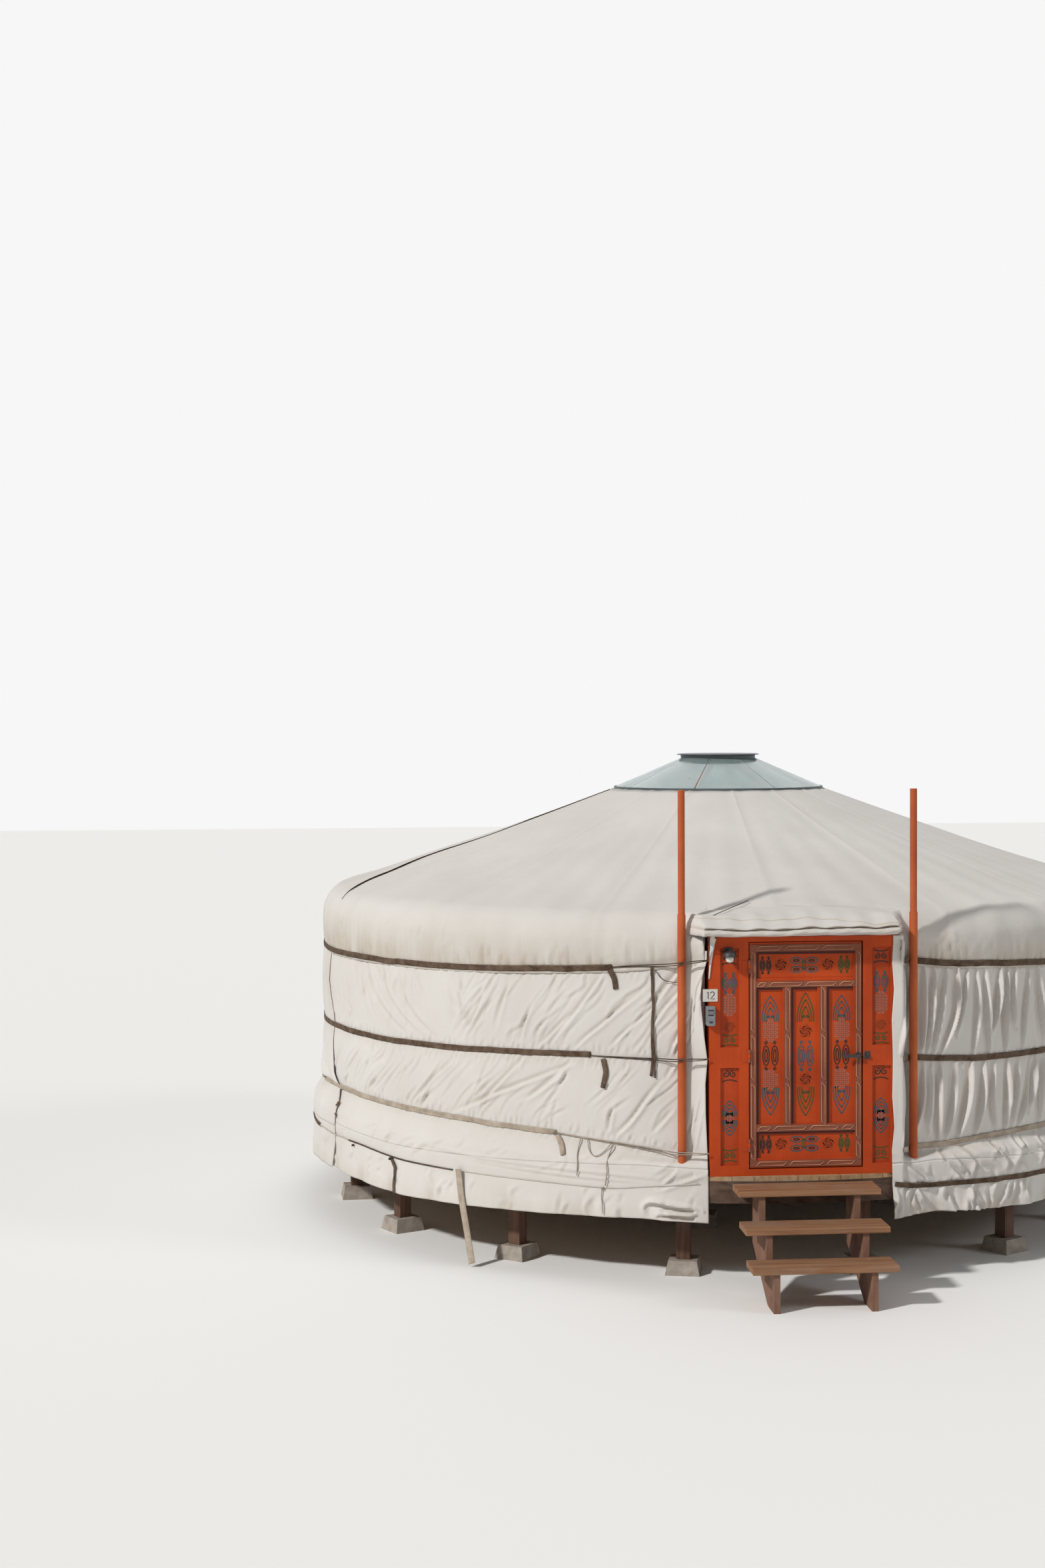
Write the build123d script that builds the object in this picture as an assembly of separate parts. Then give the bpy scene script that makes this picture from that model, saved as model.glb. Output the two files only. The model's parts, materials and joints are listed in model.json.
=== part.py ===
"""A felt tent house (yurt) on a raised round timber platform, with a painted door and three steps.

Millimetres, +Z up.  The origin is on the ground under the centre of the round room, and the
door faces -Y.  Bearings are in degrees from the door, positive to the right as one looks at it.
"""
import os
from math import atan2, ceil, cos, degrees, radians, sin, sqrt, tan

from build123d import *

# Platform
DECK_TOP = 700.0
DECK_R = 3150.0
BOARD_T = 28.0
BOARD_PITCH = 142.0
BOARD_GAP = 3.0
RIM_T = 36.0
JOIST_H = 145.0
JOIST_W = 45.0
HUB_JOIST_R = 165.0
BLOCK_H = 95.0
BLOCK_W = 230.0
BLOCK_TAPER = 40.0
POST_W = 90.0
RING_POSTS = 15
RING_POST_R = 2850.0
FIRST_POST = -14.5
INNER_POSTS = 5
INNER_POST_R = 1450.0
KERB_H = 68.0
KERB_W = 68.0
DOORWAY_SPARE = 60.0

# Round wall, from the outside in
WALL_R = 3070.0
WALL_TOP = 2235.0
CANVAS_T = 5.0
FELT_T = 28.0
FELT_TOP = 2256.0
BELLY = 22.0
LATTICE_R = 3012.0
SLAT_T = 12.0
SLAT_W = 38.0
SLAT_ROWS = 3
LATTICE_TOP = 2261.0
LATTICE_FACETS = 20
HEADS_A_FACET = 3
LATTICE_FROM = 13.2
LATTICE_TO = 348.1
COVER_FROM = 12.8
COVER_TO = 348.6
COVER_LENGTHS = 8

# Roof cone, measured on its outer face
ROOF_APEX = 3401.5
ROOF_SLOPE = 0.339
ROOF_LEAN = atan2(ROOF_SLOPE, 1)
EAVE_R = 3076.5
EAVE_BEND = 200.0
ROOF_HEM_Z = 1935.0
FRONT_HEM_Z = 2192.0
FELT_EDGE_ANGLE = 40.0
POLE_COUNT = 60
POLE_FOOT = 42.0
POLE_HEAD = 28.0
POLE_DROP = 34.0

# Crown
CROWN_R = 800.0
CROWN_SLOPE = 0.43
RING_IN = 690.0
RING_OUT = 768.0
RING_DROP = 136.0
RIB_COUNT = 8
RIB_FROM = 22.5
RIB_W = 36.0
HUB_R = 200.0
HUB_TOP = 3368.0
HUB_H = 70.0
PANE_IN = 250.0
PANE_OUT = 806.0
PANE_T = 6.0
CAP_R = 322.0
CAP_TOP = 3392.0
CURB_DROP = 37.0
CURB_RISE = 14.0
CROWN_POST_X = 729.0

# Door set
DOOR_SHIFT = 35.0
FRAME_W = 1260.0
FRAME_TOP = 2252.0
FRAME_FRONT = -3100.0
FRAME_D = 120.0
LEAF_W = 737.0
LEAF_H = 1464.0
LEAF_T = 40.0
LEAF_BOTTOM = 749.0
LEAF_FRONT = -3092.0
LEAF_TOP = LEAF_BOTTOM + LEAF_H
LEAF_L = DOOR_SHIFT - LEAF_W / 2
LEAF_RIGHT = DOOR_SHIFT + LEAF_W / 2
FRAME_L = DOOR_SHIFT - FRAME_W / 2
FRAME_RIGHT = DOOR_SHIFT + FRAME_W / 2
LEAF_GAP = 8.0
HINGE_GAP = 6.0
STOP = 15.0
STILE = 62.0
OUTER_STILE = 70.0
PANEL_SUNK = 9.0
SIDE_PANEL_BACK = 16.0
SIDE_PANEL_T = 24.0
BATTEN_T = 7.0
COLUMNS = ((62, 216), (293, 447), (530, 684))
ROWS = ((77, 233), (309, 1179), (1242, 1399))
RAILS = ((13, 59), (251, 291), (1184, 1228), (1416, 1457))
MULLIONS = ((228, 272), (461, 505))
HINGE_Z = (900.0, 1480.0, 2060.0)
HINGE_X = LEAF_L - 3
HINGE_Y = FRAME_FRONT - 9
HINGE_H = 80.0
KNUCKLE_R = 8.0
LATCH_Z = LEAF_TOP - 740
LAMP_X = FRAME_L + 122
LAMP_Z = LEAF_TOP - 70
LAMP_OUT = 58.0

# Stiff flap over the door
CANOPY_FROM = -625.0
CANOPY_TO = 665.0
CANOPY_FRONT = -3232.0
CANOPY_Z = 2286.0
CANOPY_EDGE_T = 40.0
CANOPY_BACK_Z = 2380.0
ROLL_R = 26.0

# Steps
TREAD_W = 914.0
TREAD_D = 248.0
TREAD_T = 38.0
TREAD_TOP = 662.0
RISE = 190.0
GOING = 238.0
STRINGER_INSET = 150.0
STRINGER_T = 40.0
STEP_COUNT = 3

# Poles that stand on the platform's edge
POLE_X = 765.0
POLE_D = 54.0
POLE_THIN_D = 46.0
POLE_JOINT_Z = 2395.0
POLE_TOP_Z = 3200.0

# Bands, ties and the cover's foot
BAND_W = 50.0
BAND_T = 3.0
BAND_Z = (1968.0, 1412.0, 922.0)
SKIRT_TIE_Z = 600.0
SKIRT_R = 3156.0
SKIRT_TOP = 892.0
SKIRT_FLARE = 9.0
LEDGE_TO = 20.0
SKIRT_HEMS = (395, 400, 390, 370, 350, 340, 345, 385, 390, 395)
TIE_W = 40.0
STRAP_W = 50.0
STRAP_FROM = -43.2
STRAP_TO = -40.1
STRAP_END_Z = 12.0
SLIT = 0.02


def at(bearing, radius, z=0.0):
    """The point at a bearing from the door, a distance from the centre and a height."""
    a = radians(bearing)
    return (radius * sin(a), -radius * cos(a), z)


def roof_z(radius):
    """Height of the roof's outer face at a distance from the centre."""
    return ROOF_APEX - ROOF_SLOPE * radius


def crown_z(radius):
    """Height of the crown's outer face, which is steeper than the roof."""
    return roof_z(CROWN_R) + CROWN_SLOPE * (CROWN_R - radius)


def outline_face(*edges):
    """A face in the XZ plane from edges that follow one another."""
    return make_face(list(edges))


def path(*points):
    """Straight edges through (radius, height) points in the XZ plane."""
    return Polyline(*[(r, 0, z) for r, z in points]).edges()


def spun(face, start, end):
    """A solid of revolution of an XZ face between two bearings."""
    return Rot(0, 0, start - 90) * revolve(face, Axis.Z, end - start)


def turned(outline, start=0, end=360):
    """A solid of revolution between two bearings, from (radius, height) points."""
    face = make_face(Polyline(*[(r, 0, z) for r, z in outline], close=True))
    return spun(face, start, end)


def box(x0, x1, y0, y1, z0, z1):
    """A box between two corners."""
    return Pos((x0 + x1) / 2, (y0 + y1) / 2, (z0 + z1) / 2) * Box(x1 - x0, y1 - y0, z1 - z0)


def ring_outline(inner, outer, low, high):
    """The four corners of a plain ring's section."""
    return [(inner, low), (outer, low), (outer, high), (inner, high)]


def round_about(solid, count, start=0.0):
    """Copies of a solid, evenly spaced about the centre, the first at a bearing."""
    return [Rot(0, 0, start - 90 + 360 * k / count) * solid for k in range(count)]


def cover_lengths(face, count, hide_seam=SLIT):
    """Equal lengths of cover, from the door's right side round to its left."""
    step = (COVER_TO - COVER_FROM) / count
    starts = [COVER_FROM + k * step for k in range(count)]
    return [spun(face, a + hide_seam, a + step - hide_seam) for a in starts]


def deck_boards():
    """Floor boards side by side, running towards the door and cut to the round."""
    disc = Pos(0, 0, DECK_TOP - BOARD_T / 2) * Cylinder(DECK_R, BOARD_T)
    boards = []
    for k in range(ceil(2 * DECK_R / BOARD_PITCH)):
        x = -DECK_R + k * BOARD_PITCH
        board = box(x, x + BOARD_PITCH - BOARD_GAP, -DECK_R, DECK_R, DECK_TOP - BOARD_T, DECK_TOP)
        boards.append(disc & board)
    return boards


def deck_rim():
    """The bent board round the joists' ends."""
    top = DECK_TOP - BOARD_T
    return turned(ring_outline(DECK_R - RIM_T, DECK_R, top - JOIST_H, top))


def deck_kerb():
    """A low curved kerb outside the wall, open at the doorway."""
    half = degrees(atan2(FRAME_W / 2 + DOORWAY_SPARE, DECK_R))
    shift = degrees(atan2(DOOR_SHIFT, DECK_R))
    outline = ring_outline(DECK_R - KERB_W, DECK_R, DECK_TOP, DECK_TOP + KERB_H)
    return turned(outline, shift + half, 360 + shift - half)


def deck_joists():
    """Joists from a round hub to the rim, one over each outer post."""
    top = DECK_TOP - BOARD_T
    low = top - JOIST_H
    joist = box(HUB_JOIST_R + 5, DECK_R - RIM_T - 1, -JOIST_W / 2, JOIST_W / 2, low, top)
    hub = Pos(0, 0, top - JOIST_H / 2) * Cylinder(HUB_JOIST_R, JOIST_H)
    return round_about(joist, RING_POSTS, FIRST_POST) + [hub]


def post(radius, top):
    return box(radius - POST_W / 2, radius + POST_W / 2, -POST_W / 2, POST_W / 2, BLOCK_H, top)


def foot_block(radius):
    """A cast block whose sides slope in towards the top."""
    low = Plane.XY * Pos(radius, 0) * Rectangle(BLOCK_W, BLOCK_W)
    small = BLOCK_W - BLOCK_TAPER
    high = Plane.XY.offset(BLOCK_H) * Pos(radius, 0) * Rectangle(small, small)
    return loft([low, high])


def platform_posts():
    """Posts in two rings and one at the centre."""
    top = DECK_TOP - BOARD_T - JOIST_H
    outer = round_about(post(RING_POST_R, top), RING_POSTS, FIRST_POST)
    inner = round_about(post(INNER_POST_R, top), INNER_POSTS, FIRST_POST)
    return outer + inner + [post(0, top)]


def platform_blocks():
    """A footing block under each post."""
    outer = round_about(foot_block(RING_POST_R), RING_POSTS, FIRST_POST)
    inner = round_about(foot_block(INNER_POST_R), INNER_POSTS, FIRST_POST)
    return outer + inner + [foot_block(0)]


def slat_layer(side, low, half_width, outer_half):
    """One layer of parallel slats of a flat bay, leaning to one side."""
    height = LATTICE_TOP - DECK_TOP
    pitch = 2 * half_width / HEADS_A_FACET
    run = SLAT_ROWS * pitch
    wide = SLAT_W / sin(atan2(height, run))
    slats = Sketch()
    for k in range(-2 * SLAT_ROWS, 2 * SLAT_ROWS + 1):
        foot = k * pitch + pitch / 2 - side * run / 2
        corners = [(foot - wide / 2, 0), (foot + wide / 2, 0)]
        corners += [(foot + side * run + wide / 2, height), (foot + side * run - wide / 2, height)]
        slats += make_face(Polyline(*corners, close=True))
    slats &= Pos(0, height / 2) * Rectangle(2 * outer_half, height)
    plane = Plane(origin=(0, -low, DECK_TOP), x_dir=(1, 0, 0), z_dir=(0, -1, 0))
    return extrude(plane * slats, SLAT_T).solids()


def lattice_facet(half_angle):
    """One flat bay of the folding lattice: two crossing layers of slats, mitred at the folds."""
    distance = LATTICE_R * cos(radians(half_angle))
    half_width = LATTICE_R * sin(radians(half_angle))
    outer_half = (distance + SLAT_T) * tan(radians(half_angle))
    layers = slat_layer(1, distance - SLAT_T, half_width, outer_half)
    layers += slat_layer(-1, distance, half_width, outer_half)
    far = 2 * LATTICE_R
    wedge = make_face(Polyline((0, 0), at(-half_angle, far)[:2], at(half_angle, far)[:2], close=True))
    bay = extrude(Pos(0, 0, DECK_TOP) * wedge, LATTICE_TOP - DECK_TOP)
    lattice = layers[0].fuse(*layers[1:])
    return lattice & bay


def lattice_walls():
    """Five folding walls from jamb to jamb, each in two halves of two flat bays."""
    step = (LATTICE_TO - LATTICE_FROM) / LATTICE_FACETS
    facet = lattice_facet(step / 2)
    trim = 0.01
    halves = []
    for k in range(0, LATTICE_FACETS, 2):
        start = LATTICE_FROM + (k + 0.5) * step
        first = Rot(0, 0, start + trim) * facet
        second = Rot(0, 0, start + step - trim) * facet
        pieces = first.solids() + second.solids()
        halves.append(pieces[0].fuse(*pieces[1:]))
    return [halves[k:k + 2] for k in range(0, len(halves), 2)]


def roof_pole():
    """A squared pole that tapers from the wall's head to the crown ring."""
    felt_under = (FELT_T + CANVAS_T) / cos(ROOF_LEAN) + 4

    def section(radius, size, drop):
        mid = roof_z(radius) - felt_under - size / 2 / cos(ROOF_LEAN) - drop
        along = (cos(ROOF_LEAN), 0, -sin(ROOF_LEAN))
        return Plane(origin=(radius, 0, mid), x_dir=(0, 1, 0), z_dir=along) * Rectangle(size, size)

    return loft([section(LATTICE_R + 8, POLE_FOOT, POLE_DROP), section(RING_OUT + 10, POLE_HEAD, 0)])


def roof_poles():
    """All poles, the right half and the left half."""
    every = round_about(roof_pole(), POLE_COUNT, 180 / POLE_COUNT)
    for k in (0, 1, -1, -2):
        every[k] = every[k] - over_door()
    return every[:POLE_COUNT // 2], every[POLE_COUNT // 2:]


def crown_ring():
    """The bent timber ring that the roof poles push against."""
    low = roof_z(CROWN_R) - RING_DROP
    return turned(ring_outline(RING_IN, RING_OUT, low, roof_z(CROWN_R) - 4))


def crown_ribs():
    """Eight arched ribs from the ring up to the hub."""
    seat = roof_z(CROWN_R) - 4
    outline = [(RING_IN, seat), (762, seat), (762, crown_z(762) - 4), (240, crown_z(240) - 4)]
    outline += [(HUB_R + 1, HUB_TOP), (HUB_R + 1, HUB_TOP - HUB_H), (560, crown_z(560) - 60)]
    face = make_face(Polyline(*[(r, 0, z) for r, z in outline], close=True))
    rib = extrude(face, RIB_W / 2, both=True)
    return round_about(rib, RIB_COUNT, RIB_FROM)


def crown_hub():
    return Pos(0, 0, HUB_TOP - HUB_H / 2) * Cylinder(HUB_R, HUB_H)


def crown_panes():
    """Eight panes between the ribs."""
    low = 2
    high = low + PANE_T
    outline = [(PANE_IN, crown_z(PANE_IN) + low), (PANE_OUT, crown_z(PANE_OUT) + low)]
    outline += [(PANE_OUT, crown_z(PANE_OUT) + high), (PANE_IN, crown_z(PANE_IN) + high)]
    step = 360 / RIB_COUNT
    bar = 0.3
    starts = [RIB_FROM + step * k for k in range(RIB_COUNT)]
    return [turned(outline, a + bar, a + step - bar) for a in starts]


def crown_cap():
    """A low collar and a flat lid over the middle of the crown."""
    seat = PANE_IN + 5
    collar = [(seat, crown_z(seat) + 9), (290, crown_z(290) + 9), (290, CAP_TOP - 12)]
    collar += [(CAP_R, CAP_TOP - 8), (CAP_R, CAP_TOP - 4), (CAP_R - 22, CAP_TOP)]
    collar += [(0, CAP_TOP), (0, CAP_TOP - 14), (seat, CAP_TOP - 14)]
    return turned(collar)


def crown_curb():
    """The curb that closes the joint between the panes and the roof cover."""
    inner = RING_OUT + 1
    outer = CROWN_R + 14
    lip = outer - 6
    outline = [(inner, roof_z(inner) - CURB_DROP), (outer, roof_z(outer) - CURB_DROP)]
    outline += [(outer, crown_z(outer) + CURB_RISE), (lip, crown_z(lip) + CURB_RISE)]
    outline += [(lip, crown_z(lip) + 1), (inner, crown_z(inner) + 1)]
    return turned(outline)


def crown_posts():
    """Two turned posts that carry the crown ring."""
    top = roof_z(CROWN_R) - RING_DROP - DECK_TOP
    slim = 26
    full = 34
    head = 40
    shape = [(0, 0), (full, 0), (full, 60), (slim, 90), (slim, 700), (full, 760), (full, 820)]
    shape += [(slim, 880), (slim, top - 90), (head, top - 40), (head, top), (0, top)]
    turned_post = turned(shape)
    return [Pos(side * CROWN_POST_X, 0, DECK_TOP) * turned_post for side in (-1, 1)]


def side_lights():
    """The four openings beside the leaf, as x and z spans."""
    left = (FRAME_L + OUTER_STILE, LEAF_L - LEAF_GAP - STILE)
    right = (LEAF_RIGHT + LEAF_GAP + STILE, FRAME_RIGHT - OUTER_STILE)
    lower = (LEAF_BOTTOM + 20, LEAF_BOTTOM + 655)
    upper = (LEAF_BOTTOM + 790, LEAF_TOP - 36)
    return [(a, b, c, d) for a, b in (left, right) for c, d in (lower, upper)]


def door_frame():
    """Stiles, head and threshold in one, rebated for the leaf and open beside it."""
    back = FRAME_FRONT + FRAME_D
    rebate = LEAF_FRONT + LEAF_T + 6
    low = LEAF_BOTTOM - 6
    frame = box(FRAME_L, FRAME_RIGHT, FRAME_FRONT, back, DECK_TOP, FRAME_TOP)
    frame -= box(LEAF_L - HINGE_GAP, LEAF_RIGHT + LEAF_GAP, FRAME_FRONT - 1, rebate, low, LEAF_TOP + 6)
    frame -= box(LEAF_L + STOP, LEAF_RIGHT - STOP, FRAME_FRONT, back + 1, low, LEAF_TOP - STOP)
    for a, b, c, d in side_lights():
        frame -= box(a, b, FRAME_FRONT - 1, back + 1, c, d)
    return frame


def side_panels():
    """Four boards set back in the openings beside the leaf."""
    front = FRAME_FRONT + SIDE_PANEL_BACK
    return [box(a, b, front, front + SIDE_PANEL_T, c, d) for a, b, c, d in side_lights()]


def door_leaf():
    """The leaf, with five sunk panels on its face."""
    leaf = box(LEAF_L, LEAF_RIGHT, LEAF_FRONT, LEAF_FRONT + LEAF_T, LEAF_BOTTOM, LEAF_TOP)
    wide = (COLUMNS[0][0], COLUMNS[-1][1])
    sunk = [(wide, ROWS[0]), (wide, ROWS[2])] + [(column, ROWS[1]) for column in COLUMNS]
    for (a, b), (high, low) in sunk:
        top, foot = LEAF_TOP - high, LEAF_TOP - low
        leaf -= box(LEAF_L + a, LEAF_L + b, LEAF_FRONT - 1, LEAF_FRONT + PANEL_SUNK, foot, top)
    return leaf


def leaf_mouldings():
    """The grid of raised battens between the panels."""
    front = LEAF_FRONT - BATTEN_T
    foot, head = LEAF_BOTTOM + BATTEN_T, LEAF_TOP - 13
    grid = box(LEAF_L + 2, LEAF_L + 44, front, LEAF_FRONT, foot, head)
    grid += box(LEAF_RIGHT - 44, LEAF_RIGHT - 2, front, LEAF_FRONT, foot, head)
    for high, low in RAILS:
        grid += box(LEAF_L + 2, LEAF_RIGHT - 2, front, LEAF_FRONT, LEAF_TOP - low, LEAF_TOP - high)
    for a, b in MULLIONS:
        top, low = LEAF_TOP - RAILS[1][1], LEAF_TOP - RAILS[2][0]
        grid += box(LEAF_L + a, LEAF_L + b, front, LEAF_FRONT, low, top)
    return grid


def hinge_frame_side():
    """Plates on the frame, each with its middle knuckle and pin."""
    parts = []
    for z in HINGE_Z:
        low, high = z - HINGE_H / 2, z + HINGE_H / 2
        plate = box(HINGE_X - 46, HINGE_X - 7, FRAME_FRONT - 3, FRAME_FRONT, low, high)
        arm = box(HINGE_X - 8, HINGE_X - 3, HINGE_Y, FRAME_FRONT, z - 12, z + 12)
        knuckle = Pos(HINGE_X, HINGE_Y, z) * Cylinder(KNUCKLE_R, 26)
        pin = Pos(HINGE_X, HINGE_Y, z) * Cylinder(4, HINGE_H + 4)
        parts.append(plate + arm + knuckle + pin)
    return parts


def hinge_leaf_side():
    """Plates on the leaf, each with an upper and a lower knuckle."""
    parts = []
    front = LEAF_FRONT - BATTEN_T
    for z in HINGE_Z:
        plate = box(HINGE_X + 10, HINGE_X + 46, front - 3, front, z - HINGE_H / 2, z + HINGE_H / 2)
        for mid in (z - 27.5, z + 27.5):
            knuckle = Pos(HINGE_X, HINGE_Y, mid) * Cylinder(KNUCKLE_R, 25)
            arm = box(HINGE_X + 5, HINGE_X + 11, HINGE_Y, front, mid - 12.5, mid + 12.5)
            bore = Pos(HINGE_X, HINGE_Y, mid) * Cylinder(4.4, 27)
            plate += knuckle + arm
            plate -= bore
        parts.append(plate)
    return parts


def door_latch():
    """A lever latch on the leaf's right side."""
    x = LEAF_RIGHT - 24
    rose = Pos(x, LEAF_FRONT - 13, LATCH_Z) * Rot(90, 0, 0) * Cylinder(21, 12)
    bar = Pos(x, LEAF_FRONT - 26, LATCH_Z) * Rot(90, 0, 0) * Cylinder(9, 16)
    lever = Pos(x - 46, LEAF_FRONT - 36, LATCH_Z) * Box(110, 10, 20)
    return rose + bar + lever


def latch_keeper():
    """The staple on the frame that takes a padlock."""
    x = LEAF_RIGHT + 34
    plate = box(x - 18, x + 20, FRAME_FRONT - 3, FRAME_FRONT, LATCH_Z - 26, LATCH_Z + 26)
    loop = Pos(x, FRAME_FRONT - 3, LATCH_Z) * Rot(0, 90, 0) * Torus(16, 4)
    loop &= box(x - 34, x + 46, FRAME_FRONT - 30, FRAME_FRONT - 2, LATCH_Z - 40, LATCH_Z + 40)
    return plate + loop


def wall_lamp():
    """A small dome lamp over a bulb, on the left side of the frame."""
    outline = [(0, 28), (20, 26), (38, 14), (44, -6), (47, -8), (47, -11), (42, -10), (36, 10)]
    outline += [(18, 22), (0, 24)]
    shade = Pos(LAMP_X, FRAME_FRONT - LAMP_OUT, LAMP_Z) * turned(outline)
    front = FRAME_FRONT - 8
    plate = box(LAMP_X - 30, LAMP_X + 30, front, FRAME_FRONT, LAMP_Z - 18, LAMP_Z + 42)
    arm = box(LAMP_X - 9, LAMP_X + 9, FRAME_FRONT - LAMP_OUT - 2, front, LAMP_Z + 24, LAMP_Z + 36)
    return plate + arm + shade


def lamp_bulb():
    outline = [(0, 22), (13, 20), (14, 2), (24, -14), (27, -28), (22, -42), (10, -50), (0, -51)]
    return Pos(LAMP_X, FRAME_FRONT - LAMP_OUT, LAMP_Z) * turned(outline)


def number_plate():
    x = FRAME_L + 4
    z = LEAF_TOP - 336
    return box(x - 48, x + 48, FRAME_FRONT - 4, FRAME_FRONT, z - 40, z + 40)


def key_box():
    x = FRAME_L + 2
    z = LEAF_TOP - 466
    body = box(x - 29, x + 29, FRAME_FRONT - 42, FRAME_FRONT, z - 63, z + 63)
    return fillet(body.edges().filter_by(Axis.Y), 10)


def belly(radius, low, high):
    """The arc of a canvas bay that bulges between two bands."""
    middle = (radius + BELLY, 0, (low + high) / 2)
    return ThreePointArc((radius, 0, low), middle, (radius, 0, high))


def wall_face():
    """Section of the wall's canvas, bellied out between the bands."""
    outer, inner = WALL_R, WALL_R - CANVAS_T
    foot = DECK_TOP + KERB_H + 12
    half = BAND_W / 2 + 2
    bays = [(BAND_Z[2] + half, BAND_Z[1] - half), (BAND_Z[1] + half, ROOF_HEM_Z - 20)]
    edges = path((outer, foot), (outer, bays[0][0]))
    edges += [belly(outer, *bays[0])]
    edges += path((outer, bays[0][1]), (outer, bays[1][0]))
    edges += [belly(outer, *bays[1])]
    edges += path((outer, bays[1][1]), (outer, WALL_TOP), (inner, WALL_TOP), (inner, bays[1][1]))
    edges += [belly(inner, *bays[1])]
    edges += path((inner, bays[1][0]), (inner, bays[0][1]))
    edges += [belly(inner, *bays[0])]
    edges += path((inner, bays[0][0]), (inner, foot), (outer, foot))
    return outline_face(*edges)


def felt_face():
    """Section of the wall's felt."""
    outer = WALL_R - CANVAS_T - 1
    corners = ring_outline(outer - FELT_T, outer, DECK_TOP, FELT_TOP)
    return outline_face(*path(*corners, corners[0]))


def eave_arc(radius, last=0.0):
    """The rounded shoulder of the roof's layers, from the roof's slope down to a last angle."""
    x = EAVE_R - EAVE_BEND
    z = roof_z(x) - EAVE_BEND / cos(ROOF_LEAN)
    first = radians(90) - ROOF_LEAN
    turns = [first, (first + radians(last)) / 2, radians(last)]
    return ThreePointArc(*[(x + radius * cos(a), 0, z + radius * sin(a)) for a in turns])


def roof_face(hem):
    """Section of the roof cover, whose hem hangs over the wall."""
    drop = CANVAS_T / cos(ROOF_LEAN)
    start = CROWN_R + 15
    outer = eave_arc(EAVE_BEND)
    inner = eave_arc(EAVE_BEND - CANVAS_T)
    edges = [Line((start, 0, roof_z(start)), outer @ 0), outer]
    edges += [Line(outer @ 1, (EAVE_R, 0, hem)), Line((EAVE_R, 0, hem), (EAVE_R - CANVAS_T, 0, hem))]
    edges += [Line((EAVE_R - CANVAS_T, 0, hem), inner @ 1), inner]
    edges += [Line(inner @ 0, (start, 0, roof_z(start) - drop))]
    edges += [Line((start, 0, roof_z(start) - drop), (start, 0, roof_z(start)))]
    return outline_face(*edges)


def over_door():
    """The room that the door frame and the flap take out of the roof's layers."""
    back = FRAME_FRONT + FRAME_D + 2
    return box(CANOPY_FROM - 1, CANOPY_TO + 2, FRAME_FRONT - 400, back, 1900, 2400)


def roof_felt():
    """Four quarters of felt, cut back over the door frame."""
    top = CANVAS_T + 1
    start = CROWN_R + 15
    high = (start, 0, roof_z(start) - top / cos(ROOF_LEAN))
    low = (start, 0, roof_z(start) - (top + FELT_T) / cos(ROOF_LEAN))
    outer = eave_arc(EAVE_BEND - top, FELT_EDGE_ANGLE)
    inner = eave_arc(EAVE_BEND - top - FELT_T, FELT_EDGE_ANGLE)
    edges = [Line(high, outer @ 0), outer, Line(outer @ 1, inner @ 1), inner]
    edges += [Line(inner @ 0, low), Line(low, high)]
    face = outline_face(*edges)
    quarters = [spun(face, a + SLIT, a + 90 - SLIT) for a in (0, 90, 180, 270)]
    return [quarters[0] - over_door(), quarters[1], quarters[2], quarters[3] - over_door()]


def roof_cover():
    """Eight gores of the outer cover, and the front one, which ends over the door."""
    gores = cover_lengths(roof_face(ROOF_HEM_Z), COVER_LENGTHS)
    gores[-1] = gores[-1] - over_door()
    front = spun(roof_face(FRONT_HEM_Z), COVER_TO - 360 + SLIT, COVER_FROM - SLIT)
    return gores + [front - over_door()]


def door_canopy():
    """The stiff flap of the roof cover that runs out over the door, rolled at its edge."""
    back = FRAME_FRONT + FRAME_D + 1.5
    width = CANOPY_TO - CANOPY_FROM
    low = FRAME_TOP + 6
    middle = (CANOPY_FROM + CANOPY_TO) / 2
    edge = CANOPY_Z + ROLL_R
    outline = [(back, low), (back, CANOPY_BACK_Z), (CANOPY_FRONT, edge)]
    outline += [(CANOPY_FRONT, edge - CANOPY_EDGE_T), (FRAME_FRONT - 20, low)]
    face = make_face(Polyline(*[(middle, y, z) for y, z in outline], close=True))
    flap = extrude(face, width / 2, dir=(1, 0, 0), both=True)
    roll = Pos(middle, CANOPY_FRONT, CANOPY_Z) * Rot(0, 90, 0) * Cylinder(ROLL_R, width)
    return flap + roll


def ledge_outline(hem):
    """The cover's foot beside the door: flat on the kerb, tied under the deck's edge."""
    top = DECK_TOP + KERB_H + 1
    inner = WALL_R + 0.5
    return [
        (inner, top),
        (SKIRT_R - CANVAS_T, top),
        (SKIRT_R - CANVAS_T, SKIRT_TIE_Z),
        (SKIRT_R + SKIRT_FLARE, hem),
        (SKIRT_R + SKIRT_FLARE + CANVAS_T, hem),
        (SKIRT_R, SKIRT_TIE_Z),
        (SKIRT_R, top + CANVAS_T),
        (inner + CANVAS_T, top + CANVAS_T),
        (inner + CANVAS_T, SKIRT_TOP),
        (inner, SKIRT_TOP),
    ]


def slope_outline(hem):
    """The cover's foot away from the door: from the lowest band straight out to the kerb's edge."""
    top = DECK_TOP + KERB_H + 1
    inner = WALL_R + 0.5
    return [
        (inner, SKIRT_TOP - CANVAS_T),
        (SKIRT_R - CANVAS_T, top),
        (SKIRT_R - CANVAS_T, SKIRT_TIE_Z),
        (SKIRT_R + SKIRT_FLARE, hem),
        (SKIRT_R + SKIRT_FLARE + CANVAS_T, hem),
        (SKIRT_R, SKIRT_TIE_Z),
        (SKIRT_R, top + 3),
        (inner + CANVAS_T, SKIRT_TOP),
        (inner, SKIRT_TOP),
    ]


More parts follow.
